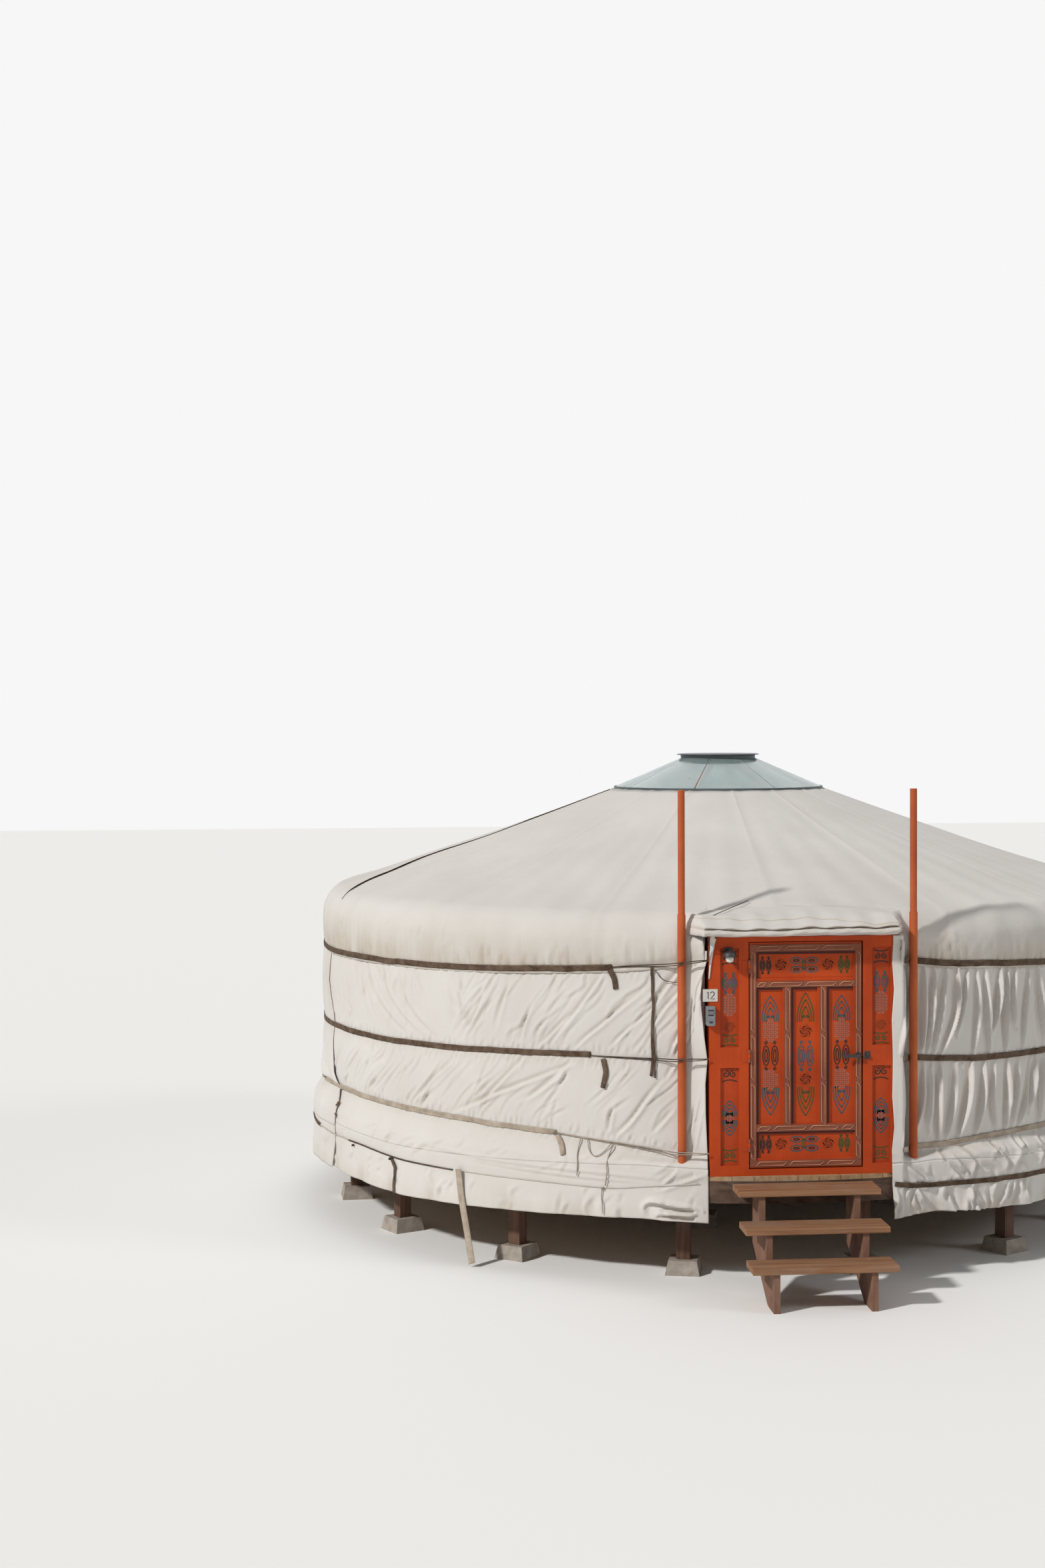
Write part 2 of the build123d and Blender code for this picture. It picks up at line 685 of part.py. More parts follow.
def canvas_skirt():
    """The cover's foot in lengths, lower at the left and back than at the door."""
    first, last = LEDGE_TO, 360 - LEDGE_TO
    step = (last - first) / (len(SKIRT_HEMS) - 2)
    turns = [COVER_FROM] + [first + k * step for k in range(len(SKIRT_HEMS) - 1)] + [COVER_TO]
    pieces = []
    for k, hem in enumerate(SKIRT_HEMS):
        beside_door = k in (0, len(SKIRT_HEMS) - 1)
        outline = ledge_outline(hem) if beside_door else slope_outline(hem)
        pieces.append(turned(outline, turns[k] + SLIT, turns[k + 1] - SLIT))
    return pieces


def tension_bands():
    """Three flat bands round the wall, from jamb to jamb."""
    bands = []
    for z, radius in zip(BAND_Z, (EAVE_R + 0.5, WALL_R + 0.5, WALL_R + 0.5)):
        outline = ring_outline(radius, radius + BAND_T, z - BAND_W / 2, z + BAND_W / 2)
        bands.append(turned(outline, COVER_FROM + 0.2, COVER_TO - 0.2))
    return bands


def skirt_tie():
    """The webbing that pulls the cover in under the deck's edge."""
    outline = ring_outline(SKIRT_R + 0.5, SKIRT_R + 4, SKIRT_TIE_Z + 2, SKIRT_TIE_Z + 2 + TIE_W)
    return turned(outline, COVER_FROM + 0.2, COVER_TO - 0.2)


def ground_strap():
    """The flat strap that ties the cover's foot down to the ground."""
    head = Vector(*at(STRAP_FROM, SKIRT_R + 6, SKIRT_TIE_Z))
    foot = Vector(*at(STRAP_TO, SKIRT_R + 110, STRAP_END_Z))
    along = foot - head
    across = Vector(*at(STRAP_FROM + 90, 1))
    section = Plane(origin=head, x_dir=across, z_dir=along) * Rectangle(STRAP_W, BAND_T)
    return extrude(section, along.length)


def pole_places():
    y = -sqrt((DECK_R - POLE_D / 2 - 4) ** 2 - POLE_X ** 2)
    return [(-POLE_X, y), (POLE_X, y)]


def poles_lower():
    """The thick lengths of the two poles, that stand on the covered kerb."""
    foot = DECK_TOP + KERB_H + CANVAS_T + 4
    shaft = Cylinder(POLE_D / 2, POLE_JOINT_Z - foot)
    return [Pos(x, y, (foot + POLE_JOINT_Z) / 2) * shaft for x, y in pole_places()]


def poles_upper():
    """The thin lengths of the poles, above the sleeve joint."""
    shaft = Cylinder(POLE_THIN_D / 2, POLE_TOP_Z - POLE_JOINT_Z)
    return [Pos(x, y, (POLE_TOP_Z + POLE_JOINT_Z) / 2) * shaft for x, y in pole_places()]


def step_stringer(side):
    """A saw-tooth side board, cut level under each tread and at the ground."""
    back = -DECK_R - 2
    x = side * (TREAD_W / 2 - STRINGER_INSET)
    under = TREAD_TOP - TREAD_T
    nose = 8
    points = [(back, under), (back - GOING + nose, under)]
    for k in range(1, STEP_COUNT):
        points.append((back - k * GOING + nose, under - k * RISE))
        points.append((back - (k + 1) * GOING + nose, under - k * RISE))
    points.append((back - STEP_COUNT * GOING + nose, 0))
    points.append((back - 2 * GOING - 30, 0))
    points.append((back, under - 2 * RISE + 40))
    face = make_face(Polyline(*[(x, y, z) for y, z in points], close=True))
    return extrude(face, STRINGER_T / 2, dir=(1, 0, 0), both=True)


def step_tread(number):
    """One board, counted from the top, with a rounded front edge."""
    back = -DECK_R - 3 - number * GOING
    top = TREAD_TOP - number * RISE
    board = box(-TREAD_W / 2, TREAD_W / 2, back - TREAD_D, back, top - TREAD_T, top)
    edge = board.edges().filter_by(Axis.X).group_by(Axis.Y)[0]
    return fillet(edge, 6)


def all_pieces():
    """Every node's solids by name."""
    poles_right, poles_left = roof_poles()
    pieces = {
        "deck_boards": deck_boards(),
        "deck_rim": deck_rim(),
        "deck_kerb": deck_kerb(),
        "deck_joists": deck_joists(),
        "platform_posts": platform_posts(),
        "platform_blocks": platform_blocks(),
        "roof_poles_right": poles_right,
        "roof_poles_left": poles_left,
        "crown_ring": crown_ring(),
        "crown_ribs": crown_ribs() + [crown_hub()],
        "crown_panes": crown_panes(),
        "crown_cap": crown_cap(),
        "crown_curb": crown_curb(),
        "crown_posts": crown_posts(),
        "wall_felt": cover_lengths(felt_face(), COVER_LENGTHS // 2),
        "wall_canvas": cover_lengths(wall_face(), COVER_LENGTHS),
        "roof_felt": roof_felt(),
        "roof_cover": roof_cover(),
        "door_canopy": door_canopy(),
        "canvas_skirt": canvas_skirt(),
        "tension_bands": tension_bands(),
        "skirt_tie": skirt_tie(),
        "ground_strap": ground_strap(),
        "door_frame": door_frame(),
        "side_panels": side_panels(),
        "door_leaf": door_leaf(),
        "leaf_mouldings": leaf_mouldings(),
        "hinge_frame_side": hinge_frame_side(),
        "hinge_leaf_side": hinge_leaf_side(),
        "door_latch": door_latch(),
        "latch_keeper": latch_keeper(),
        "wall_lamp": wall_lamp(),
        "lamp_bulb": lamp_bulb(),
        "number_plate": number_plate(),
        "key_box": key_box(),
        "poles_lower": poles_lower(),
        "poles_upper": poles_upper(),
        "step_stringers": [step_stringer(-1), step_stringer(1)],
    }
    for number, place in enumerate(("top", "middle", "bottom")):
        pieces[f"step_tread_{place}"] = step_tread(number)
    for number, wall in enumerate(lattice_walls(), start=1):
        pieces[f"lattice_wall_{number}"] = wall
    return pieces


def write_parts(pieces):
    """Write each node's solids to its own file."""
    os.makedirs("parts", exist_ok=True)
    for name, shape in pieces.items():
        if isinstance(shape, (list, tuple)):
            shape = Compound(children=list(shape))
        export_step(shape, f"parts/{name}.step")


write_parts(all_pieces())
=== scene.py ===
# %% [markdown]
# # A felt tent house on a raised round platform
#
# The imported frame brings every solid: platform, steps, lattice, roof poles, crown, door and poles.
# This script gives those solids their finishes, and it makes what a plain solid can't show: canvas
# covers with bulges and creases, felt, webbing and rope, and the painted ornament of the door.
# Everything is in metres in the frame's own place, so nothing has to be moved to fit.

# %% Load the frame
import json
import math

import bpy
import numpy as np
from mathutils import Matrix, Vector
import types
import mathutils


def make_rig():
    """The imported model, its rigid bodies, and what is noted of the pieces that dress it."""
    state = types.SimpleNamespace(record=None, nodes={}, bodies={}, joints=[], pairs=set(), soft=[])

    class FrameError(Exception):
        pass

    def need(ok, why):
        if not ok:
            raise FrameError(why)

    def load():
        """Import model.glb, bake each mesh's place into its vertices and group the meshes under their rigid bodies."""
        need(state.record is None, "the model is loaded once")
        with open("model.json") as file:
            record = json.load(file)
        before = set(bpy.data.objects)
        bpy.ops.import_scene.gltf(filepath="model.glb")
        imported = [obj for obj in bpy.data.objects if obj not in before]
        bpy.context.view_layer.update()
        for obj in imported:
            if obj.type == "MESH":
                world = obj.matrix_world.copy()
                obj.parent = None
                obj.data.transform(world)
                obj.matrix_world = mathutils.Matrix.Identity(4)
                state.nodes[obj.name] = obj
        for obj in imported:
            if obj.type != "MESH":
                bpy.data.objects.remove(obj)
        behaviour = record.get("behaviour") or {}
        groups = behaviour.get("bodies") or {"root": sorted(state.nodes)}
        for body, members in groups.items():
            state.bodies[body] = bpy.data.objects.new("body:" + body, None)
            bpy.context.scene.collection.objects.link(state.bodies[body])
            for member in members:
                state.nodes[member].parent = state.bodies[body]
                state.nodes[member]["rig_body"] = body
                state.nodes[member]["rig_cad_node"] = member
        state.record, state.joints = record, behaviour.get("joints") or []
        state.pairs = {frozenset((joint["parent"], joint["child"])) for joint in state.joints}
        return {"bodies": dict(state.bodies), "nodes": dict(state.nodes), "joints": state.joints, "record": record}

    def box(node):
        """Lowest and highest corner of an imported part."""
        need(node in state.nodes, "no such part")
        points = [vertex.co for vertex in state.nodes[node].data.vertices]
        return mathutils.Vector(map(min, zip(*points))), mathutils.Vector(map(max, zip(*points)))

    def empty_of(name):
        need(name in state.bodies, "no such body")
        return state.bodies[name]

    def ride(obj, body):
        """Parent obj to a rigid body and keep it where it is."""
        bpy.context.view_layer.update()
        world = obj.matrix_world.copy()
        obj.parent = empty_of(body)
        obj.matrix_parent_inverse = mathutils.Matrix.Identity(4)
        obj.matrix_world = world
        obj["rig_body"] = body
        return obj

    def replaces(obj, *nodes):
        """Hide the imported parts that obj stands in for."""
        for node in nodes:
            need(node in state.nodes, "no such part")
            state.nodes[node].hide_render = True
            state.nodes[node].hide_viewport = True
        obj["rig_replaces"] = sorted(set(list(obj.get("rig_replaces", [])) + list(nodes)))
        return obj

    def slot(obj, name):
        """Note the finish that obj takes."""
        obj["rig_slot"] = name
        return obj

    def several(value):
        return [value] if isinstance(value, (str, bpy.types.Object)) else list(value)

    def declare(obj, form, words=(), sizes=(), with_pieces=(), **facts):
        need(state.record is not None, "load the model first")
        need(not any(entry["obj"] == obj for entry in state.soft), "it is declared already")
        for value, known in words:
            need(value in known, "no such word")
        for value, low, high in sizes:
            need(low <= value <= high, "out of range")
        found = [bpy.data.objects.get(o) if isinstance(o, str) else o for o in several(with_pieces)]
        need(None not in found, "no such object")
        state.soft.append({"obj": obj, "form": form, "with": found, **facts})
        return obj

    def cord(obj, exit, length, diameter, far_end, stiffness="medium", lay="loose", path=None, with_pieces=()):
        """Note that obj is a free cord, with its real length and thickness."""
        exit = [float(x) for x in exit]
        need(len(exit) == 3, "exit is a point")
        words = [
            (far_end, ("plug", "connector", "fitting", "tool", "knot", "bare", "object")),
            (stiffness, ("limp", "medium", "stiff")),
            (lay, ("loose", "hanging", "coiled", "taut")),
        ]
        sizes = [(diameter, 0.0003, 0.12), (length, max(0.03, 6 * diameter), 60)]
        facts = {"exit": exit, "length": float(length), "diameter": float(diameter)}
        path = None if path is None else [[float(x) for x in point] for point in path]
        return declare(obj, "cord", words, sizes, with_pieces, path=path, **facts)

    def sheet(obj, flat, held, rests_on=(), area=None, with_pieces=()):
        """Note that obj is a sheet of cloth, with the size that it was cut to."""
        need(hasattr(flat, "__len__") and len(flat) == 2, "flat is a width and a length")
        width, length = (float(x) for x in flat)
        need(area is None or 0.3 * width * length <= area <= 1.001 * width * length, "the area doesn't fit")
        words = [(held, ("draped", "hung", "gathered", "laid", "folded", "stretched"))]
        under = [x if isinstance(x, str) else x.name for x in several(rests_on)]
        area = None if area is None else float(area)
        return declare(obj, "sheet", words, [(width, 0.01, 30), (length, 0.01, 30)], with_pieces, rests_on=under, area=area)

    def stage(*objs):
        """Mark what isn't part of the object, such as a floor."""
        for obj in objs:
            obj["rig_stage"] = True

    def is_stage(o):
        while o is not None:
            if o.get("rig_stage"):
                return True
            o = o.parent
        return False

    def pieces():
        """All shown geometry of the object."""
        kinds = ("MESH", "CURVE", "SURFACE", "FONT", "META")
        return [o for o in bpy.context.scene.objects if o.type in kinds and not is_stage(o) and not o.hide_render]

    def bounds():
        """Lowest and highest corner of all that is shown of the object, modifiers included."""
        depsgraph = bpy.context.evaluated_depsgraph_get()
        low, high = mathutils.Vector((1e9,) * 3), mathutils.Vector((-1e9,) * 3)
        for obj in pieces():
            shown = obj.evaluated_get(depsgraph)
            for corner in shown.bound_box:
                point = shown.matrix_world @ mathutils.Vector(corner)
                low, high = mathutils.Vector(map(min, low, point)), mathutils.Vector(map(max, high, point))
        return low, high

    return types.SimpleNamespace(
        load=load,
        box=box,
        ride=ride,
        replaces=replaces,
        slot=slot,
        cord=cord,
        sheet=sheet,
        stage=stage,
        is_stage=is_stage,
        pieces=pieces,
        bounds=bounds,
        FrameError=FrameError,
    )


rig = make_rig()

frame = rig.load()
nodes = frame["nodes"]
cad_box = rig.bounds()
print("the frame's box in metres:", [tuple(round(v, 3) for v in corner) for corner in cad_box])

# %% [markdown]
# ## The camera
#
# The photograph was taken from the left of the door, a little above the eye, with a longish lens.
# A camera can be aimed by hand until it looks right, or worked out from known sizes. Here it was
# worked out from the three treads and the door frame, so the numbers are plain values.

# %% Place the camera
CAMERA_AT = Vector((-3.0004, -17.2826, 3.6447))
CAMERA_YAW, CAMERA_PITCH, CAMERA_ROLL = (math.radians(v) for v in (4.838, -1.594, -0.252))
CAMERA_LENS = 51.19
SENSOR_HEIGHT = 36.0


def placed(name, data):
    """A new object in the scene."""
    made = bpy.data.objects.new(name, data)
    bpy.context.scene.collection.objects.link(made)
    return made


def place_camera():
    """The camera, from its yaw to the right, its pitch up and its roll."""
    forward = Vector((math.sin(CAMERA_YAW) * math.cos(CAMERA_PITCH),
                      math.cos(CAMERA_YAW) * math.cos(CAMERA_PITCH), math.sin(CAMERA_PITCH)))
    level = Vector((math.cos(CAMERA_YAW), -math.sin(CAMERA_YAW), 0))
    over = level.cross(forward)
    right = level * math.cos(CAMERA_ROLL) + over * math.sin(CAMERA_ROLL)
    up = over * math.cos(CAMERA_ROLL) - level * math.sin(CAMERA_ROLL)
    data = bpy.data.cameras.new("camera")
    data.sensor_fit = "VERTICAL"
    data.sensor_height = SENSOR_HEIGHT
    data.lens = CAMERA_LENS
    data.clip_end = 200
    camera = placed("camera", data)
    turned = Matrix((right, up, -forward)).transposed().to_4x4()
    turned.translation = CAMERA_AT
    camera.matrix_world = turned
    bpy.context.scene.camera = camera


place_camera()
print("camera at", [round(v, 3) for v in CAMERA_AT], "with a lens of", CAMERA_LENS, "mm")

# %% [markdown]
# ## Floor, lamps and world
#
# A studio picture wants a plain pale floor and soft light. The strongest lamp stands to the left of
# the door, as the low sun does in the photograph, because light that grazes the cloth is what shows
# its creases. The lamps together light white canvas to just under white.

# %% Light the scene
PALE = (0.88, 0.875, 0.86)


def studio_lamp(name, bearing, height, strength, softness, colour=(1, 1, 1)):
    """A far lamp at a bearing from the door and an angle above the floor, as wide as its softness."""
    data = bpy.data.lights.new(name, "SUN")
    data.energy = strength
    data.angle = math.radians(softness)
    data.color = colour
    side, up = math.radians(bearing), math.radians(height)
    towards = Vector((math.sin(side) * math.cos(up), -math.cos(side) * math.cos(up), math.sin(up)))
    placed(name, data).rotation_euler = (-towards).to_track_quat("-Z", "Y").to_euler()


def add_node(tree, kind, inputs=None, **settings):
    """A node in a tree, with its settings, and each input given a value or a link."""
    node = tree.nodes.new(kind)
    for name, value in settings.items():
        setattr(node, name, value)
    for key, value in (inputs or {}).items():
        if isinstance(value, bpy.types.NodeSocket):
            tree.links.new(value, node.inputs[key])
        else:
            node.inputs[key].default_value = value
    return node


def output_of(tree, kind, inputs=None, **settings):
    """The first output of a new node."""
    return add_node(tree, kind, inputs, **settings).outputs[0]


def times(tree, a, b):
    """The product of two values in a tree."""
    return output_of(tree, "ShaderNodeMath", {0: a, 1: b}, operation="MULTIPLY")


def pale_world(strength):
    """An even pale world, white to the camera and in reflections."""
    world = bpy.data.worlds.new("studio")
    bpy.context.scene.world = world
    world.use_nodes = True
    tree = world.node_tree
    ambient = tree.nodes["Background"]
    ambient.inputs["Color"].default_value = (1, 1, 1, 1)
    ambient.inputs["Strength"].default_value = strength
    white = output_of(tree, "ShaderNodeBackground", {"Color": (0.93, 0.93, 0.93, 1)})
    ray = add_node(tree, "ShaderNodeLightPath").outputs
    seen = ray["Is Camera Ray"]
    for also in ("Is Glossy Ray", "Is Transmission Ray"):
        seen = output_of(tree, "ShaderNodeMath", {0: seen, 1: ray[also]}, operation="MAXIMUM")
    blend = output_of(tree, "ShaderNodeMixShader", {0: seen, 1: ambient.outputs[0], 2: white})
    tree.links.new(blend, tree.nodes["World Output"].inputs[0])


def pale_floor(half):
    """A flat floor under the object."""
    mesh = bpy.data.meshes.new("studio_floor")
    corners = [(-half, -half, 0), (half, -half, 0), (half, half, 0), (-half, half, 0)]
    mesh.from_pydata(corners, [], [(0, 1, 2, 3)])
    finish = bpy.data.materials.new("studio_floor")
    finish.use_nodes = True
    surface = finish.node_tree.nodes["Principled BSDF"]
    surface.inputs["Base Color"].default_value = (*PALE, 1)
    surface.inputs["Roughness"].default_value = 0.9
    mesh.materials.append(finish)
    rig.stage(placed("studio_floor", mesh))


bpy.context.scene.view_settings.view_transform = "Standard"
studio_lamp("key", -59, 37, 2.7, 4, (1.0, 0.985, 0.965))
studio_lamp("fill", 66, 26, 0.44, 14, (0.96, 0.98, 1.0))
studio_lamp("back", 175, 50, 0.4, 60)
pale_world(0.25)
pale_floor(60)
print("floor, world and three lamps placed")

# %% [markdown]
# ## A short way to write finishes
#
# Each finish is a Principled shader with noise, ramps and bumps in front of it. Setting nodes one by
# one takes many lines, so this class keeps the tree and adds nodes by short calls. Patterns read
# Object coordinates, which are metres here, or an attribute or UV map where they follow the cloth.
# Most finishes are named after the part's material slot that they fill. The others are in a table.

# %% The finish helper
COLOURS = ("blue", "pink", "brown", "olive", "rust")
OTHER_SLOTS = {"dark_rope": "brown_webbing", "pale_rope": "beige_webbing", "white_cord": "beige_webbing",
               "bead_paint": "moulding_paint", "groove_paint": "moulding_paint",
               **{"scroll_" + colour: "door_panel" for colour in COLOURS}}
slots = {}


class Finish:
    """A material whose nodes are added by short calls."""

    def __init__(self, name, **sockets):
        self.material = bpy.data.materials.new(name)
        slots[self.material.name] = OTHER_SLOTS.get(name, name)
        self.material.use_nodes = True
        self.tree = self.material.node_tree
        self.surface = self.tree.nodes["Principled BSDF"]
        for socket, value in sockets.items():
            self.surface.inputs[socket.replace("_", " ")].default_value = value
        coordinates = add_node(self.tree, "ShaderNodeTexCoord").outputs
        self.place, self.cloth = coordinates["Object"], coordinates["UV"]

    def node(self, kind, values, **settings):
        return add_node(self.tree, "ShaderNode" + kind, values, **settings)

    def noise(self, scale, detail=3, rough=0.55, stretch=(1, 1, 1), twist=0.0):
        """Soft noise on the object's metres, squeezed along an axis by stretch."""
        place = self.node("Mapping", {"Vector": self.place, "Scale": stretch}).outputs[0]
        return self.node("TexNoise", {"Vector": place, "Scale": scale, "Detail": detail,
                                      "Roughness": rough, "Distortion": twist}).outputs[0]

    def ribs(self, scale, direction, bend=0.0):
        """Even stripes on the cloth's own coordinates, for woven ribs."""
        return self.node("TexWave", {"Vector": self.cloth, "Scale": scale, "Distortion": bend},
                         bands_direction=direction).outputs["Fac"]

    def attribute(self, name):
        return self.node("Attribute", {}, attribute_name=name).outputs["Fac"]

    def span(self, value, low, high, to_low=0.0, to_high=1.0):
        """A value moved from one range to another and kept inside it."""
        return self.node("MapRange", {0: value, 1: low, 2: high, 3: to_low, 4: to_high}).outputs[0]

    def blend(self, factor, first, second):
        """One colour turning into another."""
        first, second = (c if isinstance(c, bpy.types.NodeSocket) else (*c, 1) for c in (first, second))
        return self.node("Mix", {0: factor, 6: first, 7: second}, data_type="RGBA").outputs[2]

    def relief(self, height, strength, distance):
        """A bump from a height, added to the bumps before it."""
        node = self.node("Bump", {"Height": height, "Strength": strength, "Distance": distance})
        normal = self.surface.inputs["Normal"]
        if normal.is_linked:
            self.tree.links.new(normal.links[0].from_socket, node.inputs["Normal"])
        self.tree.links.new(node.outputs[0], normal)

    def colour(self, socket):
        self.tree.links.new(socket, self.surface.inputs["Base Color"])

    def gloss(self, socket):
        self.tree.links.new(socket, self.surface.inputs["Roughness"])


print("other slots:", OTHER_SLOTS)

# %% [markdown]
# ## Canvas, felt and webbing
#
# The covers are heavy white cotton canvas that has stood outside for years: off-white, greyer in
# the creases by painted shade, with yellow-grey soiling along the hem at the eave. The pieces carry an
# attribute that says where dirt has gathered and where that painted shade lies, and the finish adds
# noise so that no edge of it is even. Felt is matted wool. Webbing is ribbed across its length, so
# its ribs follow the piece's own UV map.

# %% Cloth finishes
def canvas_finish(name, clean, shade):
    """Cotton canvas: weave, faint slubs, soft fine creases, gathered dirt and painted shade in the creases."""
    f = Finish(name, Roughness=0.88, Sheen_Weight=0.15, Sheen_Roughness=0.5, Specular_IOR_Level=0.25)
    large = f.noise(1.3, 4, 0.6)
    streaks = f.noise(2.2, 4, 0.6, (3.0, 3.0, 0.5))
    tone = f.blend(f.span(large, 0.3, 0.75), clean, shade)
    # The attribute brings real dirt and painted shade in creases and tucks alike, broken up by streaks.
    soil_and_shade = times(f.tree, f.attribute("soil_and_shade"), f.span(streaks, 0.35, 0.8, 0.35, 1.25))
    tone = f.blend(f.span(soil_and_shade, 0.0, 1.6, 0.0, 0.8), tone, (0.40, 0.335, 0.25))
    specks = f.noise(38, 2, 0.7)
    tone = f.blend(f.span(specks, 0.70, 0.78, 0.0, 0.22), tone, (0.34, 0.29, 0.23))
    f.colour(tone)
    f.relief(f.noise(9, 6, 0.62, (1.0, 1.0, 0.8)), 0.35, 0.012)
    f.relief(f.noise(420, 2, 0.5), 0.25, 0.0006)
    return f.material


def felt_finish():
    """Pressed wool: cream, patchy, with short fibres."""
    f = Finish("felt", Roughness=0.97, Sheen_Weight=0.4, Sheen_Roughness=0.6, Specular_IOR_Level=0.1)
    patches = f.blend(f.span(f.noise(2.5, 5, 0.6), 0.3, 0.7), (0.60, 0.55, 0.46), (0.74, 0.70, 0.62))
    f.colour(f.blend(f.span(f.noise(90, 3, 0.6), 0.62, 0.75, 0, 0.6), patches, (0.36, 0.30, 0.24)))
    f.relief(f.noise(160, 4, 0.7), 0.6, 0.003)
    return f.material


def webbing_finish(name, dark, light):
    """Woven tape with ribs across it and worn, paler edges."""
    f = Finish(name, Roughness=0.85, Specular_IOR_Level=0.2)
    worn = f.noise(14, 4, 0.65)
    f.colour(f.blend(f.span(worn, 0.35, 0.72), dark, light))
    f.relief(f.ribs(60, "X", 0.4), 0.5, 0.0012)
    f.relief(f.ribs(7, "Y"), 0.3, 0.0008)
    return f.material


canvas = canvas_finish("canvas", (0.640, 0.615, 0.582), (0.575, 0.545, 0.508))
felt = felt_finish()
brown_webbing = webbing_finish("brown_webbing", (0.060, 0.036, 0.022), (0.165, 0.115, 0.080))
beige_webbing = webbing_finish("beige_webbing", (0.320, 0.255, 0.195), (0.50, 0.43, 0.35))
dark_rope = webbing_finish("dark_rope", (0.045, 0.030, 0.022), (0.150, 0.110, 0.085))
pale_rope = webbing_finish("pale_rope", (0.24, 0.19, 0.15), (0.46, 0.39, 0.32))
white_cord = webbing_finish("white_cord", (0.46, 0.41, 0.35), (0.66, 0.61, 0.54))
print("cloth finishes made")

# %% [markdown]
# ## Timber, paint, metal and glass
#
# Wood grain is noise drawn out along the board. Treads run across the object and posts stand up, so
# the stretch differs. Old gloss paint is uneven: darker where the brush left it thick, worn pale at
# knocks, and duller where the weather has been.

# %% Hard finishes
def timber_finish(name, dark, light, grain, roughness):
    """Sawn wood with grain along one axis, stretch being small on that axis."""
    f = Finish(name, Roughness=roughness, Specular_IOR_Level=0.3)
    rings = f.noise(26, 6, 0.62, grain, twist=0.6)
    weather = f.noise(3.5, 4, 0.6)
    tone = f.blend(f.span(rings, 0.32, 0.7), dark, light)
    grey = tuple(0.55 * a + 0.45 * sum(light) / 3 for a in light)
    f.colour(f.blend(f.span(weather, 0.5, 0.8, 0, 0.7), tone, grey))
    f.gloss(f.span(rings, 0.3, 0.7, roughness + 0.08, roughness - 0.08))
    f.relief(rings, 0.5, 0.0025)
    return f.material


def paint_finish(name, base, deep, worn):
    """Brushed gloss paint over wood, with chips and faded patches."""
    f = Finish(name, Specular_IOR_Level=0.22)
    brush = f.noise(60, 4, 0.6, (1, 1, 0.08))
    fade = f.noise(2.4, 5, 0.6)
    tone = f.blend(f.span(fade, 0.36, 0.68), base, deep)
    tone = f.blend(f.span(brush, 0.3, 0.7, 0, 0.35), tone, deep)
    chips = f.noise(34, 5, 0.72)
    tone = f.blend(f.span(chips, 0.69, 0.73, 0, 0.75), tone, worn)
    f.colour(tone)
    f.gloss(f.span(fade, 0.3, 0.7, 0.42, 0.66))
    f.relief(brush, 0.25, 0.0012)
    f.relief(chips, 0.12, 0.002)
    return f.material


def cast_finish(name, dark, light, roughness=0.92, scale=14, metallic=0.0, depth=0.004):
    """Mottled cast stone or metal."""
    f = Finish(name, Roughness=roughness, Metallic=metallic)
    mottle = f.noise(scale, 6, 0.65)
    f.colour(f.blend(f.span(mottle, 0.3, 0.72), dark, light))
    f.gloss(f.span(mottle, 0.3, 0.7, roughness - 0.06, min(roughness + 0.06, 1)))
    f.relief(f.noise(scale * 6, 5, 0.7), 0.4, depth)
    return f.material


def glass_finish():
    """Weathered clear pane: see-through, faintly green, hazy in patches."""
    f = Finish("crown_glass", Roughness=0.12, IOR=1.45, Transmission_Weight=0.75)
    haze = f.noise(5, 4, 0.6)
    f.colour(f.blend(f.span(haze, 0.3, 0.7), (0.50, 0.66, 0.66), (0.66, 0.76, 0.74)))
    f.gloss(f.span(haze, 0.3, 0.7, 0.06, 0.28))
    f.relief(f.noise(3, 2), 0.1, 0.01)
    return f.material


